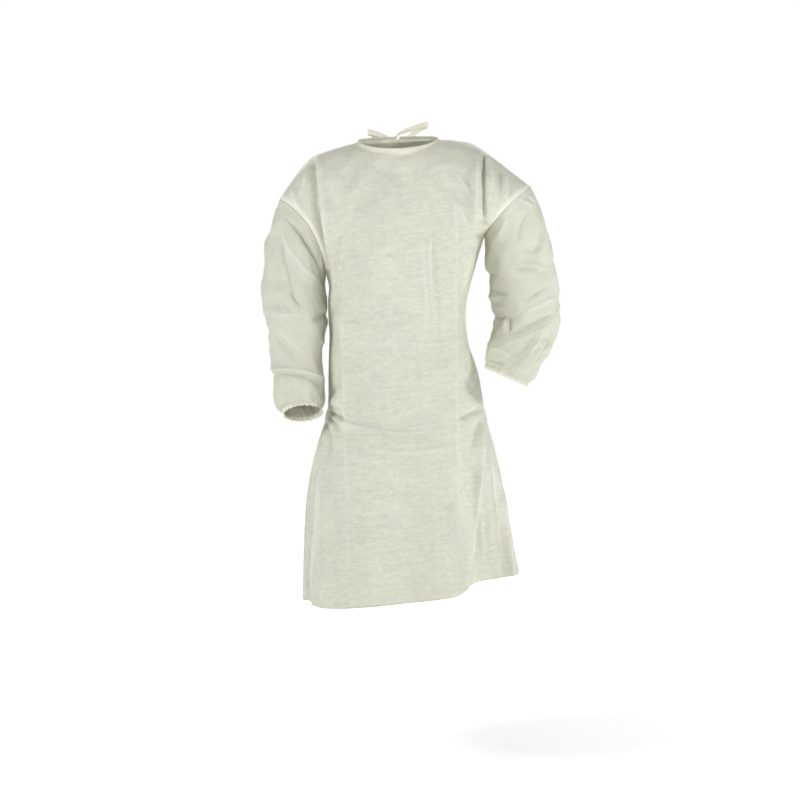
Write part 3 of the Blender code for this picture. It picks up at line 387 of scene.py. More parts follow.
# Creases in a table for each side that they are seen from, each a curved line: its two ends
# with the point it bends towards between them, across and up in millimetres, its height outwards
# (negative is a trough) and half width in tenths of a millimetre, and in hundredths how sharp its
# line is, and how much steeper the side before the line is than the side after it.
BODY_CREASES = {
    "front": (
        ("right_arm_valley_top", -192, 8, -185, -80, -180, -170, -130, 70, 60, -20),
        ("right_arm_valley_low", -183, -125, -177, -210, -154, -287, -140, 70, 60, -20),
        ("right_arm_edge", -181, -5, -171, -130, -150, -285, 90, 100, 60, 50),
        ("left_arm_valley", 197, -5, 185, -110, 190, -205, -120, 70, 60, -30),
        ("left_chest_edge", 172, -30, 170, -120, 168, -210, 95, 120, 45, 30),
        ("left_shoulder_line_1", 198, -30, 205, -70, 209, -118, 67, 50, 80, 20),
        ("left_shoulder_line_2", 128, -82, 140, -105, 160, -127, 59, 50, 80, -30),
        ("left_shoulder_line_3", 127, -140, 138, -165, 151, -205, 44, 60, 70, 0),
        ("left_shoulder_line_4", 222, -70, 228, -100, 222, -145, -41, 60, 60, 0),
        ("left_shoulder_line_5", 236, -85, 240, -110, 236, -150, 51, 50, 70, 0),
        ("right_shoulder_soft_1", -215, -85, -222, -130, -208, -185, -47, 130, 30, 0),
        ("right_shoulder_soft_2", -236, -110, -232, -140, -214, -170, 44, 70, 60, 20),
        ("right_armpit_drag_1", -117, -205, -128, -260, -148, -330, -47, 130, 40, 20),
        ("right_armpit_drag_2", -150, -270, -138, -320, -140, -400, 41, 100, 40, 0),
        ("right_armpit_drag_3", -100, -150, -128, -200, -160, -245, 27, 100, 30, 0),
        ("left_armpit_drag_1", 188, -235, 166, -270, 152, -330, -54, 90, 50, 0),
        ("left_armpit_drag_2", 186, -215, 150, -235, 120, -290, -38, 120, 30, 20),
        ("left_armpit_drag_3", 180, -250, 148, -300, 138, -370, 49, 70, 60, 0),
        ("chest_panel_fold", 74, -190, 82, -320, 102, -520, -51, 150, 40, -40),
        ("chest_panel_edge", 52, -200, 58, -300, 66, -430, 22, 120, 40, 0),
        ("chest_soft_1", -60, -120, -40, -200, -50, -330, 30, 300, 10, 0),
        ("chest_soft_2", -20, -250, 0, -330, -10, -450, -27, 280, 10, 0),
        ("neck_drag_right", -85, -45, -100, -90, -128, -150, -30, 120, 30, 0),
        ("neck_drag_left", 70, -50, 90, -90, 100, -150, -24, 120, 30, 0),
        ("neck_sag", -50, -70, 0, -95, 50, -72, -27, 140, 30, 0),
        ("belly_soft_1", -120, -520, -40, -550, 60, -530, 30, 200, 20, 0),
        ("belly_soft_2", -20, -480, 50, -500, 120, -480, -27, 180, 20, 0),
        ("waist_pull_1", -178, -606, -150, -610, -112, -628, -145, 65, 70, 30),
        ("waist_pull_2", -176, -604, -152, -624, -128, -648, -112, 60, 70, 0),
        ("waist_pull_3", -176, -600, -150, -596, -118, -604, -84, 70, 60, 0),
        ("waist_pull_4", -170, -590, -140, -565, -128, -520, -47, 90, 40, 0),
        ("waist_pull_5", -172, -618, -152, -655, -150, -715, -85, 80, 50, 20),
        ("waist_ridge", -156, -617, -15, -666, 100, -642, 110, 75, 80, -50),
        ("waist_under", -130, -640, 0, -682, 90, -660, -41, 100, 30, 0),
        ("hip_ridge", -106, -668, -10, -716, 150, -672, 77, 100, 60, -40),
        ("hip_soft_1", -80, -712, 10, -735, 110, -706, -46, 150, 30, 0),
        ("hip_soft_2", -50, -742, 30, -765, 125, -735, 24, 120, 40, 0),
        ("left_waist_pull_1", 196, -600, 165, -606, 128, -622, -88, 80, 50, 0),
        ("left_waist_pull_2", 196, -614, 172, -650, 160, -700, -89, 90, 50, 0),
        ("left_waist_pull_3", 188, -585, 160, -560, 140, -520, -47, 100, 40, 0),
        ("right_crease", -126, -330, -117, -600, -104, -1070, 26, 65, 40, 20),
        ("left_crease", 125, -40, 128, -470, 136, -1060, 26, 65, 40, -20),
        ("centre_crease", 4, -700, -6, -760, -8, -860, 11, 50, 90, 0),
        ("chest_crease", 71, -195, 71, -270, 72, -360, 26, 40, 90, 0),
        ("packet_line_1", -168, -456, 0, -458, 155, -456, 11, 45, 90, 0),
        ("packet_line_2", -190, -822, 0, -825, 160, -820, 11, 45, 90, 0),
        ("packet_line_3", -150, -120, 0, -121, 160, -118, 7, 45, 90, 0),
        ("skirt_hollow", 10, -720, 16, -900, 22, -1060, -81, 450, 10, 0),
        ("skirt_soft_1", -75, -730, -60, -880, -66, -1060, 54, 220, 20, 20),
        ("skirt_soft_2", 75, -740, 82, -900, 92, -1060, 61, 200, 20, -20),
        ("skirt_corner_right", -170, -690, -184, -860, -190, -1070, 54, 85, 60, 30),
        ("skirt_strip_right", -196, -760, -203, -900, -207, -1070, -41, 70, 40, 0),
        ("flare_valley", 206, -640, 216, -800, 236, -1000, -61, 90, 50, 20),
        ("flare_soft", 180, -690, 186, -800, 196, -980, 41, 110, 40, 0),
        ("flare_edge", 236, -760, 250, -880, 266, -1000, 41, 80, 50, 0),
        ("right_band_edge", -170, -80, -122, -165, -128, -250, -35, 120, 30, 0),
        ("right_shoulder_line_1", -212, -60, -240, -98, -256, -136, -35, 60, 60, 0),
        ("right_shoulder_line_2", -200, -70, -212, -120, -236, -158, 35, 80, 50, 0),
        ("left_slit", 185, -60, 184, -90, 187, -118, -72, 45, 80, 0),
        ("left_armpit_pinch", 178, -185, 188, -200, 200, -196, -50, 60, 60, 0),
        ("pleat_edge", 196, -610, 176, -800, 146, -1060, 95, 100, 70, -30),
        ("pleat_shade", 206, -630, 192, -800, 164, -1050, -60, 110, 40, 30),
        ("flare_line_1", 214, -680, 222, -820, 234, -990, 35, 70, 70, 0),
        ("flare_line_2", 196, -760, 200, -870, 206, -980, -28, 80, 40, 0),
    ),
    "back": (
        ("back_pleat_1", -140, -630, -158, -840, -170, -1060, 150, 200, 20, 0),
        ("back_pleat_2", -85, -640, -94, -840, -100, -1060, -110, 260, 10, 0),
        ("back_pleat_3", 65, -640, 72, -840, 85, -1060, 120, 260, 10, 0),
        ("back_pleat_4", 125, -630, 136, -840, 150, -1050, -120, 260, 10, 0),
        ("back_pleat_5", 175, -630, 200, -840, 215, -1040, 140, 190, 20, 0),
        ("back_pleat_6", 20, -640, 22, -800, 28, -1000, -50, 180, 20, 30),
        ("back_pleat_7", -115, -640, -128, -740, -134, -880, 50, 100, 40, 0),
        ("back_pleat_8", 98, -635, 104, -740, 112, -860, 50, 110, 40, 0),
        ("back_pleat_9", -52, -640, -56, -720, -62, -830, -45, 90, 40, 0),
        ("back_gather_1", -122, -602, -116, -560, -104, -480, -50, 90, 40, 0),
        ("back_gather_2", -92, -602, -88, -550, -74, -440, 45, 110, 30, 0),
        ("back_gather_3", -58, -602, -52, -570, -48, -500, -45, 80, 50, 0),
        ("back_gather_4", 40, -602, 38, -560, 30, -470, 45, 100, 30, 0),
        ("back_gather_5", 72, -602, 68, -550, 64, -450, -55, 90, 40, 0),
        ("back_gather_6", 108, -602, 106, -560, 98, -500, 40, 90, 40, 0),
        ("back_gather_7", 142, -602, 138, -560, 124, -490, -45, 90, 40, 0),
        ("back_blouse_right", -150, -560, -80, -575, -20, -560, 45, 160, 20, 0),
        ("back_blouse_left", 170, -560, 90, -578, 20, -562, 45, 160, 20, 0),
        ("back_arm_right", -192, -50, -188, -150, -174, -270, -110, 140, 40, 0),
        ("back_arm_left", 198, -40, 196, -120, 192, -200, -110, 140, 40, 0),
        ("back_drag_right", -30, -50, -90, -110, -150, -230, -45, 130, 30, 20),
        ("back_drag_right_2", -20, -90, -70, -170, -140, -300, 35, 140, 20, 0),
        ("back_drag_left", 30, -45, 90, -100, 170, -190, -45, 130, 30, -20),
        ("back_drag_left_2", 20, -90, 80, -170, 160, -260, 35, 140, 20, 0),
        ("back_soft_right", -80, -250, -90, -340, -110, -440, -40, 200, 10, 0),
        ("back_soft_left", 90, -230, 110, -330, 118, -440, -40, 200, 10, 0),
        ("back_line_right", -128, -120, -124, -500, -116, -1060, 16, 50, 90, 0),
        ("back_line_left", 128, -100, 128, -500, 134, -1050, 16, 50, 90, 0),
        ("back_packet_1", -160, -456, 0, -458, 160, -456, 10, 45, 90, 0),
        ("back_packet_2", -200, -822, 0, -825, 230, -820, 10, 45, 90, 0),
    ),
    "right": (
        ("right_side_fold_1", -28, -650, -20, -820, -14, -1060, -60, 130, 30, 0),
        ("right_side_fold_2", -45, -660, -55, -820, -70, -1060, 45, 140, 20, 0),
        ("right_side_fold_3", 70, -650, 90, -820, 105, -1050, 55, 140, 20, 0),
        ("right_side_fold_4", -90, -700, -105, -860, -115, -1050, -45, 120, 30, 0),
        ("right_side_swell", -90, -350, 0, -400, 90, -350, 98, 500, 0, 0),
        ("right_side_drag", -80, -330, -30, -420, 10, -590, -40, 130, 20, 0),
        ("right_side_drag_2", 70, -340, 40, -440, 10, -590, 35, 120, 30, 0),
    ),
    "left": (
        ("left_side_fold_1", -40, -650, -30, -800, -10, -1000, -35, 130, 30, 0),
        ("left_side_fold_2", 100, -640, 118, -800, 140, -1000, 30, 140, 20, 0),
        ("left_side_drag", -80, -300, -30, -400, 10, -590, -40, 130, 20, 0),
        ("left_side_drag_2", 75, -300, 45, -420, 10, -590, 35, 120, 30, 0),
    ),
}


def rows_of(table, columns):
    """Turn a table of tuples into one array of numbers per named column."""
    return {name: np.array([row[i] for row in table], dtype=float)
            for i, name in enumerate(columns)}


def stacked(row, *names):
    """Named columns side by side."""
    return np.stack([row[name] for name in names], axis=1)


def curved(t, start, end, leave, arrive):
    """Place at the share t of a curve that leaves its start and comes to its end as given."""
    t2 = t * t
    t3 = t2 * t
    return ((2.0 * t3 - 3.0 * t2 + 1.0) * start + (t3 - 2.0 * t2 + t) * leave
            + (3.0 * t2 - 2.0 * t3) * end + (t3 - t2) * arrive)


def along(values, position):
    """Smooth value of a table column at a fractional row position."""
    last = len(values) - 1
    low = int(min(max(math.floor(position), 0), last - 1))
    start = values[low]
    end = values[low + 1]
    before = values[low - 1] if low > 0 else 2.0 * start - end
    after = values[low + 2] if low + 2 <= last else 2.0 * end - start
    return curved(position - low, start, end, 0.5 * (end - before), 0.5 * (after - start))


def travelled(points, axis=0):
    """Length run along a line, or along a grid from its first row or column."""
    total = np.cumsum(np.linalg.norm(np.diff(points, axis=axis), axis=-1), axis=axis)
    return np.concatenate([np.zeros_like(total.take([0], axis=axis)), total], axis=axis)


def resample(points, count):
    """Points at equal steps of length along a dense line, both ends kept."""
    travel = travelled(points)
    wanted = np.linspace(0.0, travel[-1], count + 1)
    return np.stack([np.interp(wanted, travel, points[:, axis]) for axis in range(3)], axis=1)


def smooth_step(t):
    """Ease from 0 to 1 with level ends."""
    t = np.clip(t, 0.0, 1.0)
    return t * t * (3.0 - 2.0 * t)


def normalised(vectors):
    """Unit vectors of the last axis."""
    size = np.linalg.norm(vectors, axis=-1, keepdims=True)
    return vectors / np.maximum(size, 1e-12)


def smooth_table(rows, columns, count):
    """Columns of a short table drawn out to equal steps of length of its x, y and z."""
    fine = np.linspace(0.0, len(rows) - 1.0, 60 * len(rows))
    dense = {name: np.array([along(values, place) for place in fine])
             for name, values in rows_of(rows, columns).items()}
    travel = travelled(stacked(dense, "x", "y", "z"))
    wanted = np.linspace(0.0, travel[-1], count + 1)
    return {name: np.interp(wanted, travel, values) for name, values in dense.items()}


SECTION = rows_of(SECTIONS, SECTION_COLUMNS)
SLEEVE_RIGHT = rows_of(RINGS_RIGHT, RING_COLUMNS)
SLEEVE_LEFT = rows_of(RINGS_LEFT, RING_COLUMNS)


def half_section(station, half, count):
    """One half of the plan section: front from right side to left, back from left to right."""
    row = {name: along(column, station) for name, column in SECTION.items()}
    angle = np.linspace(0.0, math.pi, SECTION_POINTS)
    bend = 2.0 / row["power"]
    cos_part = np.sign(np.cos(angle)) * np.abs(np.cos(angle)) ** bend
    sin_part = np.abs(np.sin(angle)) ** bend
    middle = 0.5 * (row["x_right"] + row["x_left"])
    half_width = 0.5 * (row["x_left"] - row["x_right"])
    x = middle - half_width * cos_part
    share = (x - row["x_right"]) / (2.0 * half_width)
    y_side = row["y_right"] + share * (row["y_left"] - row["y_right"])
    y_far = row["y_front"] if half == "front" else row["y_back"]
    y = y_side + (y_far - y_side) * sin_part
    if half == "front":
        pleat = row["pleat"] * np.exp(-((x - row["pleat_x"]) / PLEAT_REACH) ** 4)
        tuck = row["tuck"] * np.exp(-((x - row["x_right"] - TUCK_REACH) / TUCK_REACH) ** 2)
        y = y + (pleat + tuck) * sin_part
    z = row["z_right"] + share * (row["z_left"] - row["z_right"])
    z = z + row["drop"] * sin_part
    points = resample(np.stack([x, y, z], axis=1), count)
    return points if half == "front" else points[::-1]


def shoulder_line(table, count):
    """Points of a shoulder seam from the neck side to the top of the armhole."""
    return stacked(smooth_table(table, POINT_COLUMNS, count), "x", "y", "z")


def neck_line(half, count):
    """Neck edge from one neck side point to the other, seen from the front left to right."""
    low = np.array(NECK_FRONT if half == "front" else NECK_BACK)
    start = np.array(SHOULDER_RIGHT[0])
    end = np.array(SHOULDER_LEFT[0])
    angle = np.linspace(0.0, math.pi, NECK_POINTS)
    share = 0.5 - 0.5 * np.cos(angle)
    side = start[None, :] + share[:, None] * (end - start)[None, :]
    depth = np.sin(angle)[:, None]
    target = np.array([0.0, low[1], low[2] - 0.5 * (start[2] + end[2])])
    return resample(side + depth * target[None, :], count)


def ring_points(rings, position, half, count):
    """Half of a sleeve ring from its inner point to its outer point, on the front or back."""
    row = {name: along(column, position) for name, column in rings.items()}
    outer = np.array([row["outer_x"], row["y"], row["outer_z"]])
    inner = np.array([row["inner_x"], row["y"], row["inner_z"]])
    centre = 0.5 * (outer + inner)
    reach = 0.5 * (outer - inner)
    sense = -1.0 if half == "front" else 1.0
    depth = np.array([0.0, sense * row["depth"], -sense * row["front_up"]])
    side = np.array([-reach[2], 0.0, reach[0]]) * (1.0 if reach[0] < 0.0 else -1.0)
    bow = -side / np.linalg.norm(side) * row["bow"]
    angle = np.linspace(0.0, math.pi, count + 1)
    return (centre[None, :] - np.cos(angle)[:, None] * reach[None, :]
            + np.sin(angle)[:, None] * depth[None, :]
            + (np.sin(angle) ** 2)[:, None] * bow[None, :])


def upper_panel(half, bottom, below):
    """Rows above the armpits: from the section at the armpits to shoulder seams and neck."""
    shoulder_right = shoulder_line(SHOULDER_RIGHT, SHOULDER_COLS)
    shoulder_left = shoulder_line(SHOULDER_LEFT, SHOULDER_COLS)
    neck = neck_line(half, NECK_COLS)
    top = np.concatenate([shoulder_right[::-1], neck[1:-1], shoulder_left])
    right_loop = ring_points(SLEEVE_RIGHT, 0.0, half, LOOP_STEPS)
    left_loop = ring_points(SLEEVE_LEFT, 0.0, half, LOOP_STEPS)
    if half == "back":
        top = top[::-1]
        right_loop, left_loop = left_loop, right_loop
    around = np.linspace(0.0, 1.0, len(top))
    inward = 1.0 if half == "front" else -1.0
    from_side = 0.5 - np.abs(around - 0.5)
    at_neck = smooth_step((from_side - NECK_START) / NECK_START)[:, None]
    over_shoulder = np.array([0.0, OVER_SHOULDER[0] * inward, OVER_SHOULDER[1]])
    into_neck = np.array([0.0, INTO_NECK[0] * inward, INTO_NECK[1]])
    arrive = over_shoulder + at_neck * (into_neck - over_shoulder)
    reach = np.linalg.norm(top - bottom, axis=1)[:, None]
    leave = normalised(bottom - below) * reach * LEAVE_ARMPITS
    arrive = arrive * reach * REACH_SHOULDERS
    near_start = 1.0 - smooth_step(around / ARMHOLE_REACH)
    near_end = 1.0 - smooth_step((1.0 - around) / ARMHOLE_REACH)
    rows = []
    for step in range(1, LOOP_STEPS + 1):
        t = 0.5 - 0.5 * math.cos(math.pi * step / LOOP_STEPS)
        t = 0.5 * t + 0.5 * step / LOOP_STEPS
        base = curved(t, bottom, top, leave, arrive)
        start_shift = right_loop[step] - base[0]
        end_shift = left_loop[step] - base[-1]
        rows.append(base + near_start[:, None] * start_shift[None, :]
                    + near_end[:, None] * end_shift[None, :])
    return rows


def from_sides(columns):
    """Each mesh column's distance to the nearer side seam, in columns of the CAD."""
    place = np.arange(columns)
    return np.minimum(place, place[::-1]) / FINE


def relax(grid):
    """Even out the yoke sideways; its borders keep their place."""
    rows, columns = grid.shape[:2]
    above = (np.arange(rows) - BODY_ROWS) / FINE
    weight = (smooth_step(above / RELAX_UP)[:, None]
              * smooth_step(from_sides(columns) / RELAX_ACROSS)[None, :])
    weight = weight * smooth_step((rows - 1.0 - np.arange(rows)) / FINE)[:, None]
    for _ in range(RELAX_PASSES):
        between = 0.5 * (np.roll(grid, 1, axis=1) + np.roll(grid, -1, axis=1))
        grid = grid + 0.5 * weight[:, :, None] * (between - grid)
    return grid


def body_grid(half):
    """All rows of the front or the back of the body, from the hem up, before its creases."""
    count = 2 * SHOULDER_COLS + NECK_COLS
    places = np.linspace(0.0, len(ROW_STATIONS) - 1.0, BODY_ROWS + 1)
    stations = np.interp(places, np.arange(len(ROW_STATIONS)), ROW_STATIONS)
    rows = [half_section(station, half, count) for station in stations]
    below = half_section(BELOW_ARMPITS, half, count)
    rows = rows + upper_panel(half, rows[-1], below)
    return relax(np.array(rows))


def grid_normals(grid):
    """Outward unit normals of a grid whose rows run up and whose columns run round."""
    across = np.gradient(grid, axis=1)
    upward = np.gradient(grid, axis=0)
    return normalised(np.cross(across, upward))


def tube_normals(grid):
    """Outward unit normals of a grid whose columns close on themselves."""
    closed = np.concatenate([grid[:, -1:], grid, grid[:, :1]], axis=1)
    return grid_normals(closed)[:, 1:-1]


# For each side seen from: the axis across it, the axis towards it, and which way.
VIEWS = {"front": (0, 1, -1.0), "back": (0, 1, 1.0), "right": (1, 0, -1.0), "left": (1, 0, 1.0)}
CREASE_PARTS = 14
FACING_LEAST = {True: 0.02, False: -0.5}    # for cloth that turns away from the view, or hardly
FACING_FULL = 0.45
END_FADE = 0.3                      # share of its length over which a crease fades at each end
END_HEIGHT = 0.15
DRAWN_FROM = 0.35                   # how sharp a crease is for its line to be drawn
DRAWN_HEIGHT = 0.003                # how high it is for its line to be drawn in full
LINE_SPREAD = 0.011                 # how far from a sharp crease its line is still noted
SHARP_SLOPE = 1.5                   # how fast a sharp crease falls off from its line
SHARP_FOOT = 0.25
CREST_NARROW = 1.4                  # how many times narrower the drawn crest is than the crease


def nearest_on(line, spots):
    """How far spots are from a line, on which side of it, and at which share of its length."""
    parts = len(line) - 1
    nearest = np.full(len(spots), np.inf)
    side = np.zeros(len(spots))
    share = np.zeros(len(spots))
    for part in range(parts):
        step = line[part + 1] - line[part]
        away = spots - line[part]
        travel = np.clip((away @ step) / (step @ step), 0.0, 1.0)
        rest = away - travel[:, None] * step
        distance = np.hypot(rest[:, 0], rest[:, 1])
        closer = distance < nearest
        turn = step[0] * away[:, 1] - step[1] * away[:, 0]
        nearest = np.where(closer, distance, nearest)
        side = np.where(closer, np.sign(turn), side)
        share = np.where(closer, (part + travel) / parts, share)
    return nearest, side, share


class Creases:
    """Heights of a table of creases over a grid, with the sharp lines among them."""

    def __init__(self, shape):
        self.heights = np.zeros(shape)
        self.lines = {kind: np.zeros(shape + (3,)) for kind in (STEEP_LINES, LEVEL_LINES)}
        self.closest = {kind: np.full(shape, LINE_SPREAD) for kind in self.lines}

    def fold(self, grid, normals, creases, turning):
        """Add every crease of the tables by view; turning cloth fades where it faces away."""
        for view, table in creases.items():
            across_axis, facing_axis, sign = VIEWS[view]
            spots = grid[:, :, (across_axis, 2)]
            facing = normals[:, :, facing_axis] * sign
            seen = smooth_step(facing / FACING_FULL) if turning else np.ones(facing.shape)
            for _, *places, height, reach, sharp, lean in table:
                line_points = np.array(places).reshape(3, 2) / 1000.0
                self.crease(spots, facing > FACING_LEAST[turning], seen, line_points,
                            height / 10000.0, reach / 10000.0, sharp / 100.0, lean / 100.0)

    def crease(self, spots, toward, seen, line_points, height, reach, sharp, lean):
        """Add one crease where the grid is turned towards its view."""
        start, bend, end = line_points
        t = np.linspace(0.0, 1.0, CREASE_PARTS + 1)[:, None]
        line = (1.0 - t) ** 2 * start + 2.0 * t * (1.0 - t) * bend + t * t * end
        margin = max(4.0 * reach, 1.3 * LINE_SPREAD)
        inside = toward & np.all((spots > line.min(axis=0) - margin)
                                 & (spots < line.max(axis=0) + margin), axis=2)
        nearest, side, share = nearest_on(line, spots[inside])
        fraction = nearest / (reach * (1.0 + lean * side))
        soft_shape = np.exp(-fraction ** 2)
        sharp_shape = np.exp(-SHARP_SLOPE * (np.sqrt(fraction ** 2 + 0.01) - 0.1))
        sharp_shape = sharp_shape * np.exp(-SHARP_FOOT * fraction ** 2)
        shape = (1.0 - sharp) * soft_shape + sharp * sharp_shape
        fade = smooth_step(share / END_FADE) * smooth_step((1.0 - share) / END_FADE)
        faded = END_HEIGHT + (1.0 - END_HEIGHT) * fade
        self.heights[inside] += height * shape * faded * seen[inside]
        # Sharp creases also note their line, which the cloth paints as a highlight on a ridge and
        # as shade in a trough.
        if sharp < DRAWN_FROM:
            return
        way = np.abs(end - start)
        kind = STEEP_LINES if way[1] > way[0] else LEVEL_LINES
        strength = np.clip(height / DRAWN_HEIGHT, -1.0, 1.0) * sharp
        strength = strength * fade * seen[inside] * smooth_step(1.0 - nearest / LINE_SPREAD)
        crest = strength * np.exp(-(CREST_NARROW * fraction) ** 2)
        closest = self.closest[kind][inside]
        better = nearest < closest
        self.closest[kind][inside] = np.where(better, nearest, closest)
        fresh = np.stack([nearest * side, strength, crest], axis=1)
        self.lines[kind][inside] = np.where(better[:, None], fresh, self.lines[kind][inside])


SWELLS = (
    # size in metres, height in metres
    (0.120, 0.0024),
    (0.050, 0.0009),
)
PAPER_FOLDS = (
    # turn in degrees, metres from fold to fold, height in metres, first fold
    (8.0, 0.120, 0.0030, 0.30),
    (82.0, 0.094, 0.0024, 0.70),
    (-38.0, 0.071, 0.0020, 0.10),
    (52.0, 0.057, 0.0016, 0.55),
    (-66.0, 0.041, 0.0009, 0.20),
    (27.0, 0.031, 0.0006, 0.90),
)
FOLD_WANDER = 0.55                  # how far a fold strays, as a share of the way to the next
FOLD_BLUNT = 0.004
WANDER_SIZE = 1.9                   # size of the noise, in ways from fold to fold
FLAT_SIZE = 1.6                     # the same for where a fold comes and goes
SHIFT_WAY = (1.0, 0.37, -0.61)


def noise_field(points, size, shift):
    """Smooth random value at each point, about -1 to 1."""
    step = Vector([way * shift for way in SHIFT_WAY])
    return np.array([noise.noise(Vector(point) / size + step) for point in points])


def crumple_heights(grid, strength):
    """Papery unevenness of the thin cloth: soft swells, and flats that meet at faint folds."""
    shape = grid.shape[:2]
    points = grid.reshape(-1, 3)
    heights = np.zeros(len(points))
    for index, (size, height) in enumerate(SWELLS):
        heights += height * noise_field(points, size, 3.0 * index)
    u = travelled(grid, 1)
    u = (u - u[:, shape[1] // 2][:, None]).ravel()
    v = travelled(grid).ravel()
    for index, (turn, step, height, first) in enumerate(PAPER_FOLDS):
        angle = math.radians(turn)
        wander = FOLD_WANDER * step * noise_field(points, WANDER_SIZE * step, 11.0 + index)
        place = (u * math.cos(angle) + v * math.sin(angle) + wander) / step + first
        fold = np.abs(2.0 * (place - np.floor(place)) - 1.0)
        fold = np.sqrt(fold ** 2 + FOLD_BLUNT)
        here = smooth_step(0.5 + 1.5 * noise_field(points, FLAT_SIZE * step, 31.0 + index))
        heights += height * (fold - 0.5) * here
    return heights.reshape(shape) * strength


SEAM_ALLOWANCE = 0.0115
SEAM_EDGE = 0.0012                  # width over which a doubled strip ends
PUCKER_HEIGHT = 0.0004
PUCKER_PLACE = 0.0045
PUCKER_WIDTH = 0.0035
PUCKER_WAVES = (0.0052, 0.0171)


def near_seam(distance, width=SEAM_ALLOWANCE):
    """1 on the doubled strip beside a seam, 0 away from it."""
    return smooth_step((width - distance) / SEAM_EDGE + 0.5)


def pucker(distance, run):
    """Small swell beside a sewn seam, uneven along it."""
    short, long = PUCKER_WAVES
    wave = 0.6 + 0.4 * np.sin(run / short) * np.sin(run / long + 1.0)
    return PUCKER_HEIGHT * wave * np.exp(-((distance - PUCKER_PLACE) / PUCKER_WIDTH) ** 2)


EVEN_COLUMNS = 24                   # columns over which the cloth map is evened out


def evened(values, closed):
    """Values of a grid, smoothed from column to column, so that the fibres run straight."""
    reach = 3 * EVEN_COLUMNS
    kernel = np.exp(-0.5 * (np.arange(-reach, reach + 1) / EVEN_COLUMNS) ** 2)
    kernel = kernel / kernel.sum()
    once = values[:, :-1] if closed else values
    padded = np.pad(once, ((0, 0), (reach, reach)), mode="wrap" if closed else "edge")
    even = np.array([np.convolve(line, kernel, mode="valid") for line in padded])
    return np.concatenate([even, even[:, :1]], axis=1) if closed else even


def smooth_mesh(name, points, faces):
    """A smoothly shaded mesh."""
    mesh = bpy.data.meshes.new(name)
    mesh.from_pydata(points.reshape(-1, 3).tolist(), [], faces)
    mesh.polygons.foreach_set("use_smooth", np.ones(len(faces), dtype=bool))
    return mesh


def sewn_in(piece, nodes=()):
    """Fix a piece to the gown, and hide the solids that it stands for."""
    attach(piece, "root")
    if nodes:
        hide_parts(*nodes)
    return piece


def cloth_piece(name, grid, closed, doubled, finish, nodes, wall=WALL, outward=False,
                lines=None):
    """A thin shell from a grid of points, with its cloth map in metres, riding on the body."""
    rows, columns = grid.shape[:2]
    mapped = np.concatenate([grid, grid[:, :1]], axis=1) if closed else grid
    run_across = travelled(mapped, 1)
    run_up = evened(travelled(mapped), closed)
    centre = mapped.shape[1] // 2
    run_across = run_across - run_across[:, centre:centre + 1]
    i, j = np.meshgrid(np.arange(rows - 1), np.arange(mapped.shape[1] - 1), indexing="ij")
    i = i.ravel()
    j = j.ravel()
    corners = ((i, j), (i, j + 1), (i + 1, j + 1), (i + 1, j))
    faces = np.stack([a * columns + b % columns for a, b in corners], axis=1)
    mesh = smooth_mesh(name, grid, faces.tolist())
    places = np.stack([np.stack([run_across[a, b], run_up[a, b]], axis=1)
                       for a, b in corners], axis=1)
    mesh.uv_layers.new(name=CLOTH_MAP).data.foreach_set("uv", places.ravel().astype(np.float32))
    layers = mesh.attributes.new(DOUBLED, "FLOAT", "POINT")
    layers.data.foreach_set("value", doubled.ravel().astype(np.float32))
    for line_name, values in (lines or {}).items():
        noted = mesh.attributes.new(line_name, "FLOAT_VECTOR", "POINT")
        noted.data.foreach_set("vector", values.ravel().astype(np.float32))
    mesh.materials.append(finish)
    mesh.update()
    piece = placed(name, mesh)
    shell = piece.modifiers.new("wall", "SOLIDIFY")
    shell.thickness = wall
    shell.offset = 1.0 if outward else -1.0
    shell.use_rim = True
    return sewn_in(piece, nodes)


SEWN_REACH = 1.6                    # CAD columns and rows over which creases fade at a seam
CALM_REACH = 4.0                    # and over which the crumpling and the seams' hold fade
BODY_CRUMPLE = 1.25


def creased(grid, half):
    """The front or back grid with its creases, and its sharp lines; sewn edges stay together."""
    rows, columns = grid.shape[:2]
    row = np.arange(rows)
    inner = smooth_step(from_sides(columns) / SEWN_REACH)[None, :]
    calm = smooth_step(from_sides(columns) / CALM_REACH)[None, :]
    from_top = smooth_step((rows - 1.0 - row) / (SEWN_REACH * FINE))[:, None]
    below = smooth_step((BODY_ROWS - row) / (CALM_REACH * FINE))[:, None]
    outward = np.zeros((1, columns, 3))
    outward[0, :, 0] = np.where(np.arange(columns) < columns / 2.0, -1.0, 1.0)
    if half == "back":
        outward = -outward
    to_normal = np.maximum(inner, 1.0 - below)[:, :, None]
    normals = normalised(grid_normals(grid) * to_normal + outward * (1.0 - to_normal))
    own = Creases((rows, columns))
    own.fold(grid, normals, {half: BODY_CREASES[half]}, False)
    shared = Creases((rows, columns))
    shared.fold(grid, normals, {side: BODY_CREASES[side] for side in ("right", "left")}, True)
    heights = own.heights * inner * from_top
    heights += shared.heights * np.maximum(inner, below) * from_top
    heights += crumple_heights(grid, BODY_CRUMPLE) * calm * from_top
    run_across = travelled(grid, 1)
    for distance in (run_across, run_across[:, -1:] - run_across):
        heights += pucker(distance, travelled(grid))
    for values in own.lines.values():
        values[:, :, 1] *= inner * from_top
    return grid + normals * heights[:, :, None], own.lines


front, front_lines = creased(body_grid("front"), "front")
across = travelled(front, 1)
from_top = travelled(front)[-1:] - travelled(front)
front_doubled = np.maximum(near_seam(across), near_seam(across[:, -1:] - across))
front_doubled = np.maximum(front_doubled, near_seam(from_top))
front_panel = cloth_piece(
    "gown_front", front, False, front_doubled, GOWN_CLOTH, ["front_panel"],
    lines=front_lines)


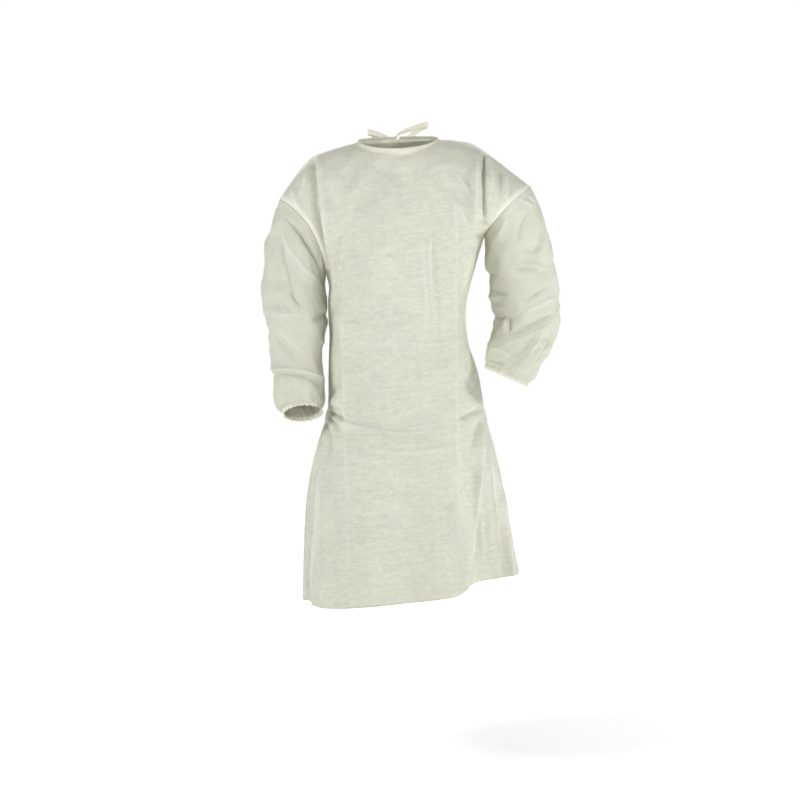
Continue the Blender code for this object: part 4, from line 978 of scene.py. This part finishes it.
# Back panels.
# Two halves of the same nonwoven, sewn to the front at the shoulders and sides, open down the
# middle: the left one passes over the right one from the nape down, and each edge is cut raw.
OVERLAP_COLS = 4 * FINE
OVERLAP_DROP = 0.0036               # how far the right half lies under the left one
OVERLAP_SHARE = 0.30                # share of the height over which the overlap widens
UNDER_START = 3.0 * FINE
UNDER_REACH = 2.7 * FINE
NECK_SPLIT = 0.24 * FINE


def back_panel(surface, reach_per_row, keep_columns):
    """One back panel: its columns drawn out or in from the neck side to its free edge."""
    rows = []
    for line, reach in zip(surface, reach_per_row):
        count = keep_columns - SHOULDER_COLS
        places = SHOULDER_COLS + np.arange(count + 1) * (reach - SHOULDER_COLS) / count
        places = np.concatenate([np.arange(SHOULDER_COLS), places])
        low = np.minimum(np.floor(places).astype(int), surface.shape[1] - 2)
        t = (places - low)[:, None]
        rows.append(line[low] * (1.0 - t) + line[low + 1] * t)
    return np.array(rows)


back, back_lines = creased(body_grid("back"), "back")
back_normals = grid_normals(back)
row_count, column_count = back.shape[:2]
middle = (column_count - 1) // 2
below_nape = 1.0 - np.arange(row_count) / (row_count - 1.0)
passing = OVERLAP_COLS * smooth_step(below_nape / OVERLAP_SHARE)
passing[-1] = -NECK_SPLIT
kept = middle + OVERLAP_COLS
sink_from = middle - UNDER_START - passing
under = smooth_step((np.arange(column_count)[None, :] - sink_from[:, None]) / UNDER_REACH)
under[-1] = 0.0


def back_half(side, surface):
    """The left or the right half of a grid of the whole back."""
    if side == "left":
        return back_panel(surface, middle + passing, kept)
    return back_panel(surface[:, ::-1], middle + passing, kept)[:, ::-1]


sunk = back - back_normals * (OVERLAP_DROP * under)[:, ::-1, None]
back_grids = {"left": back_half("left", back), "right": back_half("right", sunk)}
for side, grid in back_grids.items():
    across = travelled(grid, 1)
    from_sewn = across if side == "left" else across[:, -1:] - across
    from_top = travelled(grid)[-1:] - travelled(grid)
    cloth_piece(
        "gown_back_" + side, grid, False, np.maximum(near_seam(from_sewn), near_seam(from_top)),
        GOWN_CLOTH, ["back_panel_" + side],
        lines={name: back_half(side, values) for name, values in back_lines.items()})


# Sleeves.
# Each is one tube with a seam on its underside, sewn into a dropped armhole, wide to the cuff
# and gathered there. The right one hangs and bags over its cuff; the left one is bent at the
# elbow, pulled tight on its outer side and creased on its inner side.
SLEEVE_FINE = 10                    # mesh steps round to one step of the CAD rings
SLEEVE_ROWS = 150                   # mesh rings from the armhole to the cuff
SLEEVE_PLACES = 400                 # places along a sleeve at which its length is measured
SLEEVE_CRUMPLE = 2.0
SLEEVE_ALLOWANCE = 0.006
HELD_AT_ARMHOLE = 0.030             # metres over which creases fade at the armhole
HELD_AT_CUFF = 0.022                # and at the cuff
CUFF_GATHERS = 25
GATHER_STRAYS = (
    # how far the gathers stray round the cuff, how many times, where it starts
    (1.4, 3.0, 0.7),
    (0.9, 7.0, 0.0),
)
GATHER_UNEVEN = 0.25
CUFF_RIPPLE = 0.0016
CUFF_RIPPLE_RUN = 0.045             # how far up the sleeve the gathers run
RIGHT_SLEEVE_CREASES = {
    "front": (
        ("shoulder_valley", -256, -172, -196, -225, -158, -318, -105, 55, 85, 0),
        ("shoulder_ridge", -266, -190, -238, -278, -164, -330, 70, 90, 70, 0),
        ("outer_soft", -262, -200, -252, -290, -222, -366, -62, 90, 60, 0),
        ("short_nick", -244, -338, -228, -358, -208, -382, -67, 52, 80, 30),
        ("nick_lip", -252, -352, -236, -372, -216, -396, 37, 70, 40, 0),
        ("elbow_soft_1", -290, -380, -250, -402, -200, -392, 53, 90, 50, 20),
        ("elbow_soft_2", -280, -350, -245, -330, -180, -338, 45, 120, 30, 0),
        ("elbow_inner", -158, -398, -172, -396, -196, -408, -60, 60, 60, 0),
        ("fore_hollow", -276, -432, -245, -470, -214, -508, -63, 100, 50, 30),
        ("fore_ridge", -262, -428, -228, -462, -196, -482, 42, 80, 60, 0),
        ("bag_roll", -288, -516, -210, -500, -156, -542, 97, 75, 50, -40),
        ("bag_groove", -288, -530, -210, -516, -158, -556, -67, 60, 50, 0),
        ("bag_soft_1", -262, -545, -240, -570, -236, -600, -45, 90, 40, 0),
        ("bag_soft_2", -206, -540, -200, -565, -206, -600, 42, 100, 40, 0),
        ("bag_soft_3", -184, -556, -186, -576, -192, -598, -45, 70, 50, 0),
    ),
    "back": (
        ("back_valley", -262, -190, -225, -260, -168, -320, -69, 120, 40, 0),
        ("back_ridge", -285, -240, -245, -310, -180, -350, 56, 110, 40, 0),
        ("back_elbow_1", -292, -350, -245, -368, -170, -360, -63, 110, 40, 0),
        ("back_elbow_2", -290, -385, -245, -400, -180, -396, 56, 100, 50, 0),
        ("back_elbow_3", -286, -430, -240, -440, -190, -425, -50, 120, 30, 0),
        ("back_roll", -286, -518, -220, -508, -162, -536, 75, 85, 50, 0),
        ("back_groove", -286, -534, -220, -524, -162, -552, -50, 65, 50, 0),
    ),
    "right": (
        ("side_fold_1", -60, -250, -30, -320, 40, -350, -25, 120, 40, 0),
        ("side_fold_2", -80, -380, -30, -400, 40, -380, 22, 100, 50, 0),
        ("side_fold_3", -80, -440, -30, -425, 30, -440, -20, 100, 40, 0),
        ("side_roll", -100, -520, -30, -506, 40, -520, 41, 85, 50, 0),
        ("side_groove", -100, -536, -30, -522, 40, -536, -30, 65, 50, 0),
    ),
    "left": (
        ("inner_swell", -60, -380, -15, -420, 50, -380, 74, 500, 0, 0),
        ("inner_fold_1", -70, -390, -10, -400, 50, -385, -56, 90, 50, 0),
        ("inner_fold_2", -70, -450, -20, -460, 40, -446, 44, 100, 40, 0),
    ),
}
LEFT_SLEEVE_CREASES = {
    "front": (
        ("top_ridge_1", 256, -122, 282, -124, 304, -146, 54, 50, 80, 20),
        ("top_ridge_2", 254, -140, 278, -140, 300, -160, 45, 50, 80, 20),
        ("top_hollow", 286, -165, 268, -200, 262, -240, -67, 90, 50, 0),
        ("outer_hollow", 318, -200, 312, -235, 300, -262, -45, 90, 40, 0),
        ("seam_soft", 240, -175, 232, -205, 214, -232, 42, 90, 40, 0),
        ("arm_ridge", 246, -291, 287, -272, 328, -290, 84, 55, 85, -40),
        ("arm_ridge_under", 252, -303, 287, -288, 322, -302, -53, 60, 60, 0),
        ("arm_hollow", 268, -252, 290, -244, 316, -254, -45, 100, 30, 0),
        ("elbow_pull_1", 352, -318, 318, -336, 280, -368, -72, 70, 65, 30),
        ("elbow_pull_2", 354, -352, 318, -366, 270, -398, 54, 65, 65, 0),
        ("elbow_pull_3", 352, -386, 300, -412, 236, -440, -75, 75, 65, 30),
        ("elbow_pull_4", 346, -412, 300, -438, 250, -456, 45, 80, 40, 0),
        ("inner_nick", 247, -396, 250, -414, 247, -434, -78, 45, 80, 40),
        ("inner_lip", 238, -390, 239, -412, 237, -434, 39, 50, 50, 0),
        ("inner_soft_1", 206, -330, 226, -345, 252, -352, -57, 85, 50, 0),
        ("inner_soft_2", 208, -370, 226, -378, 246, -380, 42, 80, 40, 0),
        ("wrist_pull_1", 190, -491, 212, -492, 236, -500, -57, 50, 60, 0),
        ("wrist_pull_2", 196, -468, 222, -470, 256, -486, 45, 65, 50, 0),
        ("outer_stripe_1", 356, -420, 330, -470, 286, -530, -42, 60, 60, 0),
        ("outer_stripe_2", 340, -410, 306, -462, 264, -516, 36, 65, 60, 0),
        ("outer_stripe_3", 316, -420, 286, -462, 246, -506, -36, 70, 50, 0),
    ),
    "back": (
        ("back_hollow", 300, -160, 270, -200, 240, -250, -63, 120, 40, 0),
        ("back_ridge_1", 330, -230, 290, -260, 230, -285, 56, 110, 40, 0),
        ("back_elbow_1", 362, -330, 310, -345, 225, -355, -69, 110, 40, 0),
        ("back_elbow_2", 366, -365, 310, -372, 226, -378, 56, 90, 50, 0),
        ("back_elbow_3", 364, -405, 310, -405, 235, -405, -63, 100, 40, 0),
        ("back_wrist", 330, -470, 280, -470, 225, -450, 44, 100, 40, 0),
    ),
    "left": (
        ("outer_fold_1", -50, -230, 10, -260, 80, -270, -22, 120, 40, 0),
        ("outer_fold_2", -40, -330, 20, -345, 85, -340, 20, 100, 50, 0),
        ("outer_fold_3", -40, -380, 20, -385, 85, -395, -20, 100, 50, 0),
    ),
    "right": (
        ("inner_fold_1", -50, -300, 10, -310, 70, -300, -56, 90, 50, 0),
        ("inner_fold_2", -50, -350, 10, -356, 70, -350, 50, 80, 50, 0),
        ("inner_fold_3", -60, -400, 0, -400, 60, -392, -63, 80, 60, 0),
    ),
}


def gather_wave(count):
    """Uneven gathers round a cuff, from -1 to 1."""
    turn = np.linspace(0.0, 2.0 * math.pi, count, endpoint=False)
    phase = CUFF_GATHERS * turn
    for size, rounds, start in GATHER_STRAYS:
        phase = phase + size * np.sin(rounds * turn + start)
    return np.cos(phase) * (1.0 - GATHER_UNEVEN + GATHER_UNEVEN * np.sin(5.0 * turn + 2.0))


def sleeve_grid(rings, creases, mirror):
    """Rings of a sleeve from the armhole to the cuff; columns run round from the armpit."""
    places = np.linspace(0.0, len(rings["outer_x"]) - 1.0, SLEEVE_PLACES)
    middles = np.array([ring_points(rings, place, "front", 2)[::2].mean(axis=0)
                        for place in places])
    travel = travelled(middles)
    even = np.interp(np.linspace(0.0, travel[-1], SLEEVE_ROWS + 1), travel, places)
    rows = []
    for position in even:
        ahead, behind = (ring_points(rings, position, half, 10 * SLEEVE_FINE)
                         for half in ("front", "back"))
        first, second = (behind, ahead) if mirror else (ahead, behind)
        rows.append(np.concatenate([first, second[::-1][1:-1]]))
    grid = np.array(rows)
    normals = tube_normals(grid)
    up = travelled(grid)
    from_cuff = up[-1:] - up
    folds = Creases(grid.shape[:2])
    folds.fold(grid, normals, creases, True)
    held = smooth_step(up / HELD_AT_ARMHOLE) * smooth_step(from_cuff / HELD_AT_CUFF)
    heights = (folds.heights + crumple_heights(grid, SLEEVE_CRUMPLE)) * held
    for values in folds.lines.values():
        values[:, :, 1] *= held
    ripple = smooth_step(1.0 - from_cuff / CUFF_RIPPLE_RUN) ** 1.5
    heights += CUFF_RIPPLE * ripple * gather_wave(grid.shape[1])[None, :]
    heights += pucker(up, travelled(grid, 1))
    return grid + normals * heights[:, :, None], folds.lines


sleeve_grids = {}
for side, rings, creases in (("right", SLEEVE_RIGHT, RIGHT_SLEEVE_CREASES),
                             ("left", SLEEVE_LEFT, LEFT_SLEEVE_CREASES)):
    grid, lines = sleeve_grid(rings, creases, side == "left")
    sleeve_grids[side] = grid
    around = travelled(grid, 1)
    ring_length = around[:, -1:] + np.linalg.norm(grid[:, -1:] - grid[:, :1], axis=2)
    from_seam = np.minimum(around, ring_length - around)
    cloth_piece(
        "gown_sleeve_" + side, grid, True, near_seam(from_seam, SLEEVE_ALLOWANCE), SLEEVE_CLOTH,
        ["sleeve_" + side], lines=lines)


# Elastic cuffs.
# The end of each sleeve is turned in over a narrow elastic and stitched, so that it is drawn
# into small uneven gathers.
CUFF_HEIGHT = 0.009
CUFF_ROWS = 10
CUFF_WALL = 0.0011
CUFF_BULGE = 0.0011
CUFF_WAVE = 0.0006
for side, grid in sleeve_grids.items():
    edge = grid[-1]
    run = normalised(grid[-1] - grid[-4])
    axis = normalised(run.mean(axis=0))
    outward = normalised(edge - edge.mean(axis=0))
    wave = gather_wave(len(edge))[:, None]
    rows = []
    for step in range(CUFF_ROWS + 1):
        t = step / CUFF_ROWS
        bulge = CUFF_BULGE * math.sin(math.pi * min(1.0, t * 1.15))
        drop = (run * (1.0 - t) + axis * t) * (CUFF_HEIGHT * t)
        rows.append(edge + drop + outward * (bulge + wave * CUFF_WAVE * t))
    cloth_piece(
        "gown_cuff_" + side, np.array(rows), True, np.ones((CUFF_ROWS + 1, len(edge))),
        SLEEVE_CLOTH, ["cuff_elastic_" + side], CUFF_WALL)


# Neck binding.
# A narrow folded strip of denser cream nonwoven, sewn over the raw neck edge. Its two ends run
# on as the neck ties.
BINDING_HEIGHT = 0.006
BINDING_LEAN = 0.35
BINDING_RISE = 0.94
BINDING_ROUND = 16                  # points round the section of the folded strip
BINDING_THICK = 0.0011              # half thickness
BINDING_FLAT = 0.7                  # how flat its two sides are
BINDING_SWELLS = ((0.10, 0.0043), (0.08, 0.0117))
BINDING_MAP_STEP = 0.0009           # metres of cloth from point to point round the section


def capped_tube(name, rings):
    """A mesh through rings of points, closed by one face at each end."""
    count, sides = rings.shape[:2]
    last = (count - 1) * sides
    faces = [(low + i, low + (i + 1) % sides, low + sides + (i + 1) % sides, low + sides + i)
             for low in range(0, last, sides) for i in range(sides)]
    faces.append(tuple(reversed(range(sides))))
    faces.append(tuple(range(last, last + sides)))
    return smooth_mesh(name, rings, faces)


neck_end = SHOULDER_COLS + NECK_COLS
neck_edge = np.concatenate([
    back_grids["right"][-1, :kept - SHOULDER_COLS],
    front[-1, SHOULDER_COLS:neck_end],
    back_grids["left"][-1, SHOULDER_COLS:],
])
to_middle = neck_edge.mean(axis=0) - neck_edge
to_middle[:, 2] = 0.0
rise = normalised(normalised(to_middle) * BINDING_LEAN + np.array([0.0, 0.0, BINDING_RISE]))
run = normalised(np.gradient(neck_edge, axis=0))
outward = normalised(np.cross(run, rise))
neck_travel = travelled(neck_edge)
binding_swell = 1.0 + sum(size * np.sin(neck_travel / step) for size, step in BINDING_SWELLS)
rows = []
for turn in np.linspace(0.0, 2.0 * math.pi, BINDING_ROUND, endpoint=False):
    thick = math.copysign(abs(math.sin(turn)) ** BINDING_FLAT, math.sin(turn))
    rise_by = BINDING_HEIGHT * (0.5 + 0.55 * math.cos(turn))
    rows.append(neck_edge + rise * rise_by
                + outward * (BINDING_THICK * thick * binding_swell)[:, None])
binding_mesh = capped_tube("gown_neck_binding", np.array(rows).transpose(1, 0, 2))
corners = np.zeros(len(binding_mesh.loops), dtype=np.int32)
binding_mesh.loops.foreach_get("vertex_index", corners)
binding_places = np.stack([neck_travel[corners // BINDING_ROUND],
                           BINDING_MAP_STEP * (corners % BINDING_ROUND)], axis=1)
binding_map = binding_mesh.uv_layers.new(name=CLOTH_MAP)
binding_map.data.foreach_set("uv", binding_places.ravel().astype(np.float32))
binding_mesh.materials.append(BINDING_CLOTH)
neck_binding = placed("gown_neck_binding", binding_mesh)
sewn_in(neck_binding, ["neck_binding"])


# Neck ties.
# The ends of the binding strip, tied at the nape in a bow with two loops and two short ends.
STRIP_COLUMNS = ("x", "y", "z", "width_x", "width_y", "width_z", "width")
TIE_STEPS = 150
TIE_ACROSS = 6
NECK_TIE_WALL = 0.0010
STRIP_CROWN = 0.0005
STRIP_RIPPLE = 0.0003
STRIP_WAVES = (0.0061, 0.0153)
NECK_TIES = {
    "left": (
        (0.0075, 0.0699, 0.009, 0.0, -0.35, 0.94, 0.0055),
        (0.004, 0.0704, 0.008, 0.0, -0.25, 0.97, 0.0055),
        (-0.002, 0.0785, 0.0025, 0.0, 0.0, 1.0, 0.0055),
        (-0.016, 0.087, 0.006, 0.0, 0.0, 1.0, 0.009),
        (-0.04, 0.09, 0.017, 0.0, 0.0, 1.0, 0.012),
        (-0.062, 0.091, 0.024, 0.0, 0.0, 1.0, 0.012),
        (-0.069, 0.0965, 0.0245, 0.0, 0.0, 1.0, 0.012),
        (-0.06, 0.102, 0.02, 0.0, 0.1, 1.0, 0.012),
        (-0.035, 0.104, 0.008, 0.1, 0.1, 1.0, 0.012),
        (-0.016, 0.106, -0.007, 0.5, 0.0, 0.8, 0.011),
        (-0.011, 0.112, -0.03, 1.0, 0.0, 0.3, 0.011),
        (-0.015, 0.122, -0.075, 1.0, 0.0, 0.0, 0.012),
        (-0.02, 0.129, -0.125, 1.0, 0.0, 0.0, 0.012),
    ),
    "right": (
        (-0.0075, 0.0699, 0.009, 0.0, -0.35, 0.94, 0.0055),
        (-0.004, 0.0704, 0.011, 0.0, -0.25, 0.97, 0.0055),
        (0.0012, 0.0745, 0.0185, 0.0, 0.0, 1.0, 0.0055),
        (0.016, 0.083, 0.0255, 0.0, 0.0, 1.0, 0.009),
        (0.04, 0.09, 0.034, 0.0, 0.0, 1.0, 0.012),
        (0.06, 0.091, 0.04, 0.0, 0.0, 1.0, 0.012),
        (0.0675, 0.0965, 0.041, 0.0, 0.0, 1.0, 0.012),
        (0.058, 0.102, 0.036, 0.0, 0.1, 1.0, 0.012),
        (0.034, 0.105, 0.021, -0.1, 0.1, 1.0, 0.012),
        (0.014, 0.108, 0.002, -0.5, 0.0, 0.8, 0.011),
        (0.009, 0.114, -0.022, -1.0, 0.0, 0.3, 0.011),
        (0.013, 0.123, -0.065, -1.0, 0.0, 0.0, 0.012),
        (0.019, 0.129, -0.115, -1.0, 0.0, 0.0, 0.012),
    ),
}


def strip_grid(rows, count):
    """A flat strip along a table of places and widths, a little crowned across."""
    line = smooth_table(rows, STRIP_COLUMNS, count)
    centre = stacked(line, "x", "y", "z")
    side = normalised(stacked(line, "width_x", "width_y", "width_z"))
    crown = normalised(np.cross(normalised(np.gradient(centre, axis=0)), side))
    travel = travelled(centre)
    short, long = STRIP_WAVES
    ripple = STRIP_RIPPLE * np.sin(travel / short) * np.sin(travel / long + 0.5)
    layers = []
    for share in np.linspace(-0.5, 0.5, TIE_ACROSS + 1):
        lift = STRIP_CROWN * (1.0 - 4.0 * share * share)
        layers.append(centre + side * (line["width"] * share)[:, None]
                      + crown * (lift + ripple * 2.0 * share)[:, None])
    return np.array(layers)


for side, table in NECK_TIES.items():
    grid = strip_grid(table, TIE_STEPS)
    tie = cloth_piece(
        "gown_neck_tie_" + side, grid, False, np.ones(grid.shape[:2]), BINDING_CLOTH,
        ["neck_tie_" + side], NECK_TIE_WALL, side == "right")


# Waist ties.
# Long strips of the gown's nonwoven, sewn in at the side seams, drawn round to the middle of
# the back and knotted there, with their ends hanging.
WAIST_TIE_COLUMNS = ("x", "out", "z", "width_x", "width_z", "width")
WAIST_TIE_ENDS = {
    "left": (
        (0.022, 0.009, -0.6195, 0.0, 1.0, 0.02),
        (0.004, 0.011, -0.6205, 0.0, 1.0, 0.016),
        (-0.012, 0.011, -0.629, -0.4, 0.9, 0.013),
        (-0.022, 0.0095, -0.647, -0.8, 0.5, 0.014),
        (-0.028, 0.007, -0.69, -1.0, 0.1, 0.019),
        (-0.032, 0.0055, -0.76, -1.0, 0.0, 0.022),
        (-0.038, 0.006, -0.86, -1.0, 0.0, 0.022),
    ),
    "right": (
        (0.0, 0.0022, -0.6215, 0.0, 1.0, 0.016),
        (0.014, 0.0028, -0.63, 0.4, 0.9, 0.013),
        (0.024, 0.0035, -0.648, 0.8, 0.5, 0.014),
        (0.03, 0.0045, -0.69, 1.0, 0.1, 0.019),
        (0.034, 0.005, -0.75, 1.0, 0.0, 0.022),
        (0.04, 0.006, -0.84, 1.0, 0.0, 0.022),
    ),
}
WAIST_TIE_WALL = 0.0008
WAIST_TIE_GAP = 0.0008
WAIST_TIE_ROWS = slice(6 * FINE_UP, 7 * FINE_UP + 1, FINE_UP // TIE_ACROSS)


def back_depth(x, z):
    """How far back the cloth of the back lies at a place seen from behind."""
    rows = back[:BODY_ROWS:4, ::-1]
    depths, heights = ([np.interp(x, row[:, 0], row[:, axis]) for row in rows] for axis in (1, 2))
    return np.interp(z, heights, depths)


middle_x = back[WAIST_TIE_ROWS.start, middle, 0]
for side, end_table in WAIST_TIE_ENDS.items():
    held = back[WAIST_TIE_ROWS] + back_normals[WAIST_TIE_ROWS] * WAIST_TIE_GAP
    held = held[:, :middle - FINE] if side == "left" else held[:, :middle + FINE:-1]
    rows = []
    for values in end_table:
        row = dict(zip(WAIST_TIE_COLUMNS, values))
        x = middle_x + row["x"]
        half_width = 0.5 * row["width"]
        depth = max(back_depth(place, row["z"]) for place in (x - half_width, x, x + half_width))
        rows.append((x, depth + row["out"], row["z"],
                     row["width_x"], 0.0, row["width_z"], row["width"]))
    grid = np.concatenate([held, strip_grid(rows, TIE_STEPS)], axis=1)
    if side == "right":
        grid = grid[:, ::-1]
    tie = cloth_piece(
        "gown_waist_tie_" + side, grid, False, np.ones(grid.shape[:2]), GOWN_CLOTH,
        ["waist_tie_" + side], WAIST_TIE_WALL, True)


# Stitching.
# One row of lockstitch in pale thread down each seam: the armholes, the shoulders, the sides,
# both cuffs and the neck binding. Each stitch is a short raised dash.
STITCH_PITCH = 0.0036
STITCH_LENGTH = 0.0026
STITCH_RADIUS = 0.00022
STITCH_SIDES = 5
STITCH_RINGS = (                    # place along the stitch, share of the full radius
    (-0.5, 0.25), (-0.38, 0.85), (0.0, 1.0), (0.38, 0.85), (0.5, 0.25))
STITCH_LIFT = 0.00012
PANEL_INSET = 0.0045                # metres from the edge to the row of stitches
ARMHOLE_INSET = 0.0030
CUFF_INSET = 0.0035
BINDING_INSET = 0.35                # share of the binding's height

thread = Finish(bpy.data.materials.new("pale_thread"))
thread_place = thread.add("ShaderNodeTexCoord", {}, {}, "Object")
thread_twist = thread.cloud(thread_place, (0.0006, 0.0006, 0.0006), 2.0)
thread_colour = thread.between(
    thread_twist, (0.80, 0.80, 0.66, 1.0), (0.90, 0.90, 0.78, 1.0))
thread_bump = thread.add("ShaderNodeBump", {}, {
    "Height": thread_twist, "Strength": 0.4, "Distance": 0.0001})
thread_surface = thread.add("ShaderNodeBsdfPrincipled", {}, {
    "Base Color": thread_colour, "Roughness": 0.6, "Normal": thread_bump})
thread.add("ShaderNodeOutputMaterial", {}, {"Surface": thread_surface})

stitch_turns = [2.0 * math.pi * index / STITCH_SIDES for index in range(STITCH_SIDES)]
stitch_rings = np.array([
    [(STITCH_RADIUS * wide * math.cos(turn), STITCH_RADIUS * wide * math.sin(turn),
      STITCH_LENGTH * place) for turn in stitch_turns]
    for place, wide in STITCH_RINGS])
one_stitch = bpy.data.objects.new("one_stitch", capped_tube("one_stitch", stitch_rings))


def stitch_tree():
    """Geometry nodes that lay one stitch after the other along the edges of a line mesh."""
    tree = bpy.data.node_groups.new("stitches_along", "GeometryNodeTree")
    for name, way, kind in (
            ("Seam", "INPUT", "Geometry"), ("Stitch", "INPUT", "Object"),
            ("Pitch", "INPUT", "Float"), ("Thread", "INPUT", "Material"),
            ("Stitches", "OUTPUT", "Geometry")):
        tree.interface.new_socket(name, in_out=way, socket_type="NodeSocket" + kind)
    nodes = {name: tree.nodes.new(kind) for name, kind in (
        ("given", "NodeGroupInput"), ("line", "GeometryNodeMeshToCurve"),
        ("spaced", "GeometryNodeCurveToPoints"), ("stitch", "GeometryNodeObjectInfo"),
        ("laid", "GeometryNodeInstanceOnPoints"), ("real", "GeometryNodeRealizeInstances"),
        ("dressed", "GeometryNodeSetMaterial"), ("made", "NodeGroupOutput"))}
    nodes["spaced"].mode = "LENGTH"
    for source, output, target, socket in (
            ("given", "Seam", "line", "Mesh"), ("line", "Curve", "spaced", "Curve"),
            ("given", "Pitch", "spaced", "Length"), ("given", "Stitch", "stitch", "Object"),
            ("spaced", "Points", "laid", "Points"), ("stitch", "Geometry", "laid", "Instance"),
            ("spaced", "Rotation", "laid", "Rotation"), ("laid", "Instances", "real", "Geometry"),
            ("real", "Geometry", "dressed", "Geometry"),
            ("given", "Thread", "dressed", "Material"),
            ("dressed", "Geometry", "made", "Stitches")):
        tree.links.new(nodes[source].outputs[output], nodes[target].inputs[socket])
    return tree


STITCH_TREE = stitch_tree()


def stitched(name, line, normals):
    """A piece that is one row of stitches, along a line lifted off the cloth by its normals."""
    points = (line + normals * STITCH_LIFT).tolist()
    path_mesh = bpy.data.meshes.new(name + "_path")
    path_mesh.from_pydata(points, [(i, i + 1) for i in range(len(points) - 1)], [])
    path = placed(name + "_path", path_mesh)
    sewing = path.modifiers.new("sewing", "NODES")
    sewing.node_group = STITCH_TREE
    given = {"Stitch": one_stitch, "Pitch": STITCH_PITCH, "Thread": thread.owner}
    for socket in STITCH_TREE.interface.items_tree:
        if socket.name in given:
            sewing[socket.identifier] = given[socket.name]
    mesh = bpy.data.meshes.new_from_object(
        path.evaluated_get(bpy.context.evaluated_depsgraph_get()))
    mesh.name = name
    bpy.data.objects.remove(path)
    mesh.polygons.foreach_set("use_smooth", np.ones(len(mesh.polygons), dtype=bool))
    return sewn_in(placed(name, mesh))


def inset(grid, distance):
    """The line on a grid that runs at a distance from its first row."""
    travel = travelled(grid)
    return np.array([[np.interp(distance, travel[:, column], grid[:, column, axis])
                      for axis in range(3)] for column in range(grid.shape[1])])


for side, grid in sleeve_grids.items():
    round_normals = tube_normals(grid)
    for seam, line, normals in (
            ("armhole", inset(grid, ARMHOLE_INSET), round_normals[1]),
            ("cuff", inset(grid[::-1], CUFF_INSET), round_normals[-2])):
        stitched(seam + "_stitches_" + side,
                 np.concatenate([line, line[:1]]), np.concatenate([normals, normals[:1]]))
front_normals = grid_normals(front)
across_first = front.transpose(1, 0, 2)
for side, columns, near_edge in (("right", across_first, 1), ("left", across_first[::-1], -2)):
    stitched("side_stitches_" + side, inset(columns, PANEL_INSET)[:BODY_ROWS],
             front_normals[:BODY_ROWS, near_edge])
shoulder_seams = inset(front[::-1], PANEL_INSET)
for side, seam in (("right", slice(0, SHOULDER_COLS)), ("left", slice(neck_end + 1, None))):
    stitched("shoulder_stitches_" + side, shoulder_seams[seam], front_normals[-2, seam])
stitched("neck_stitches",
         neck_edge + rise * (BINDING_INSET * BINDING_HEIGHT) + outward * BINDING_THICK, outward)
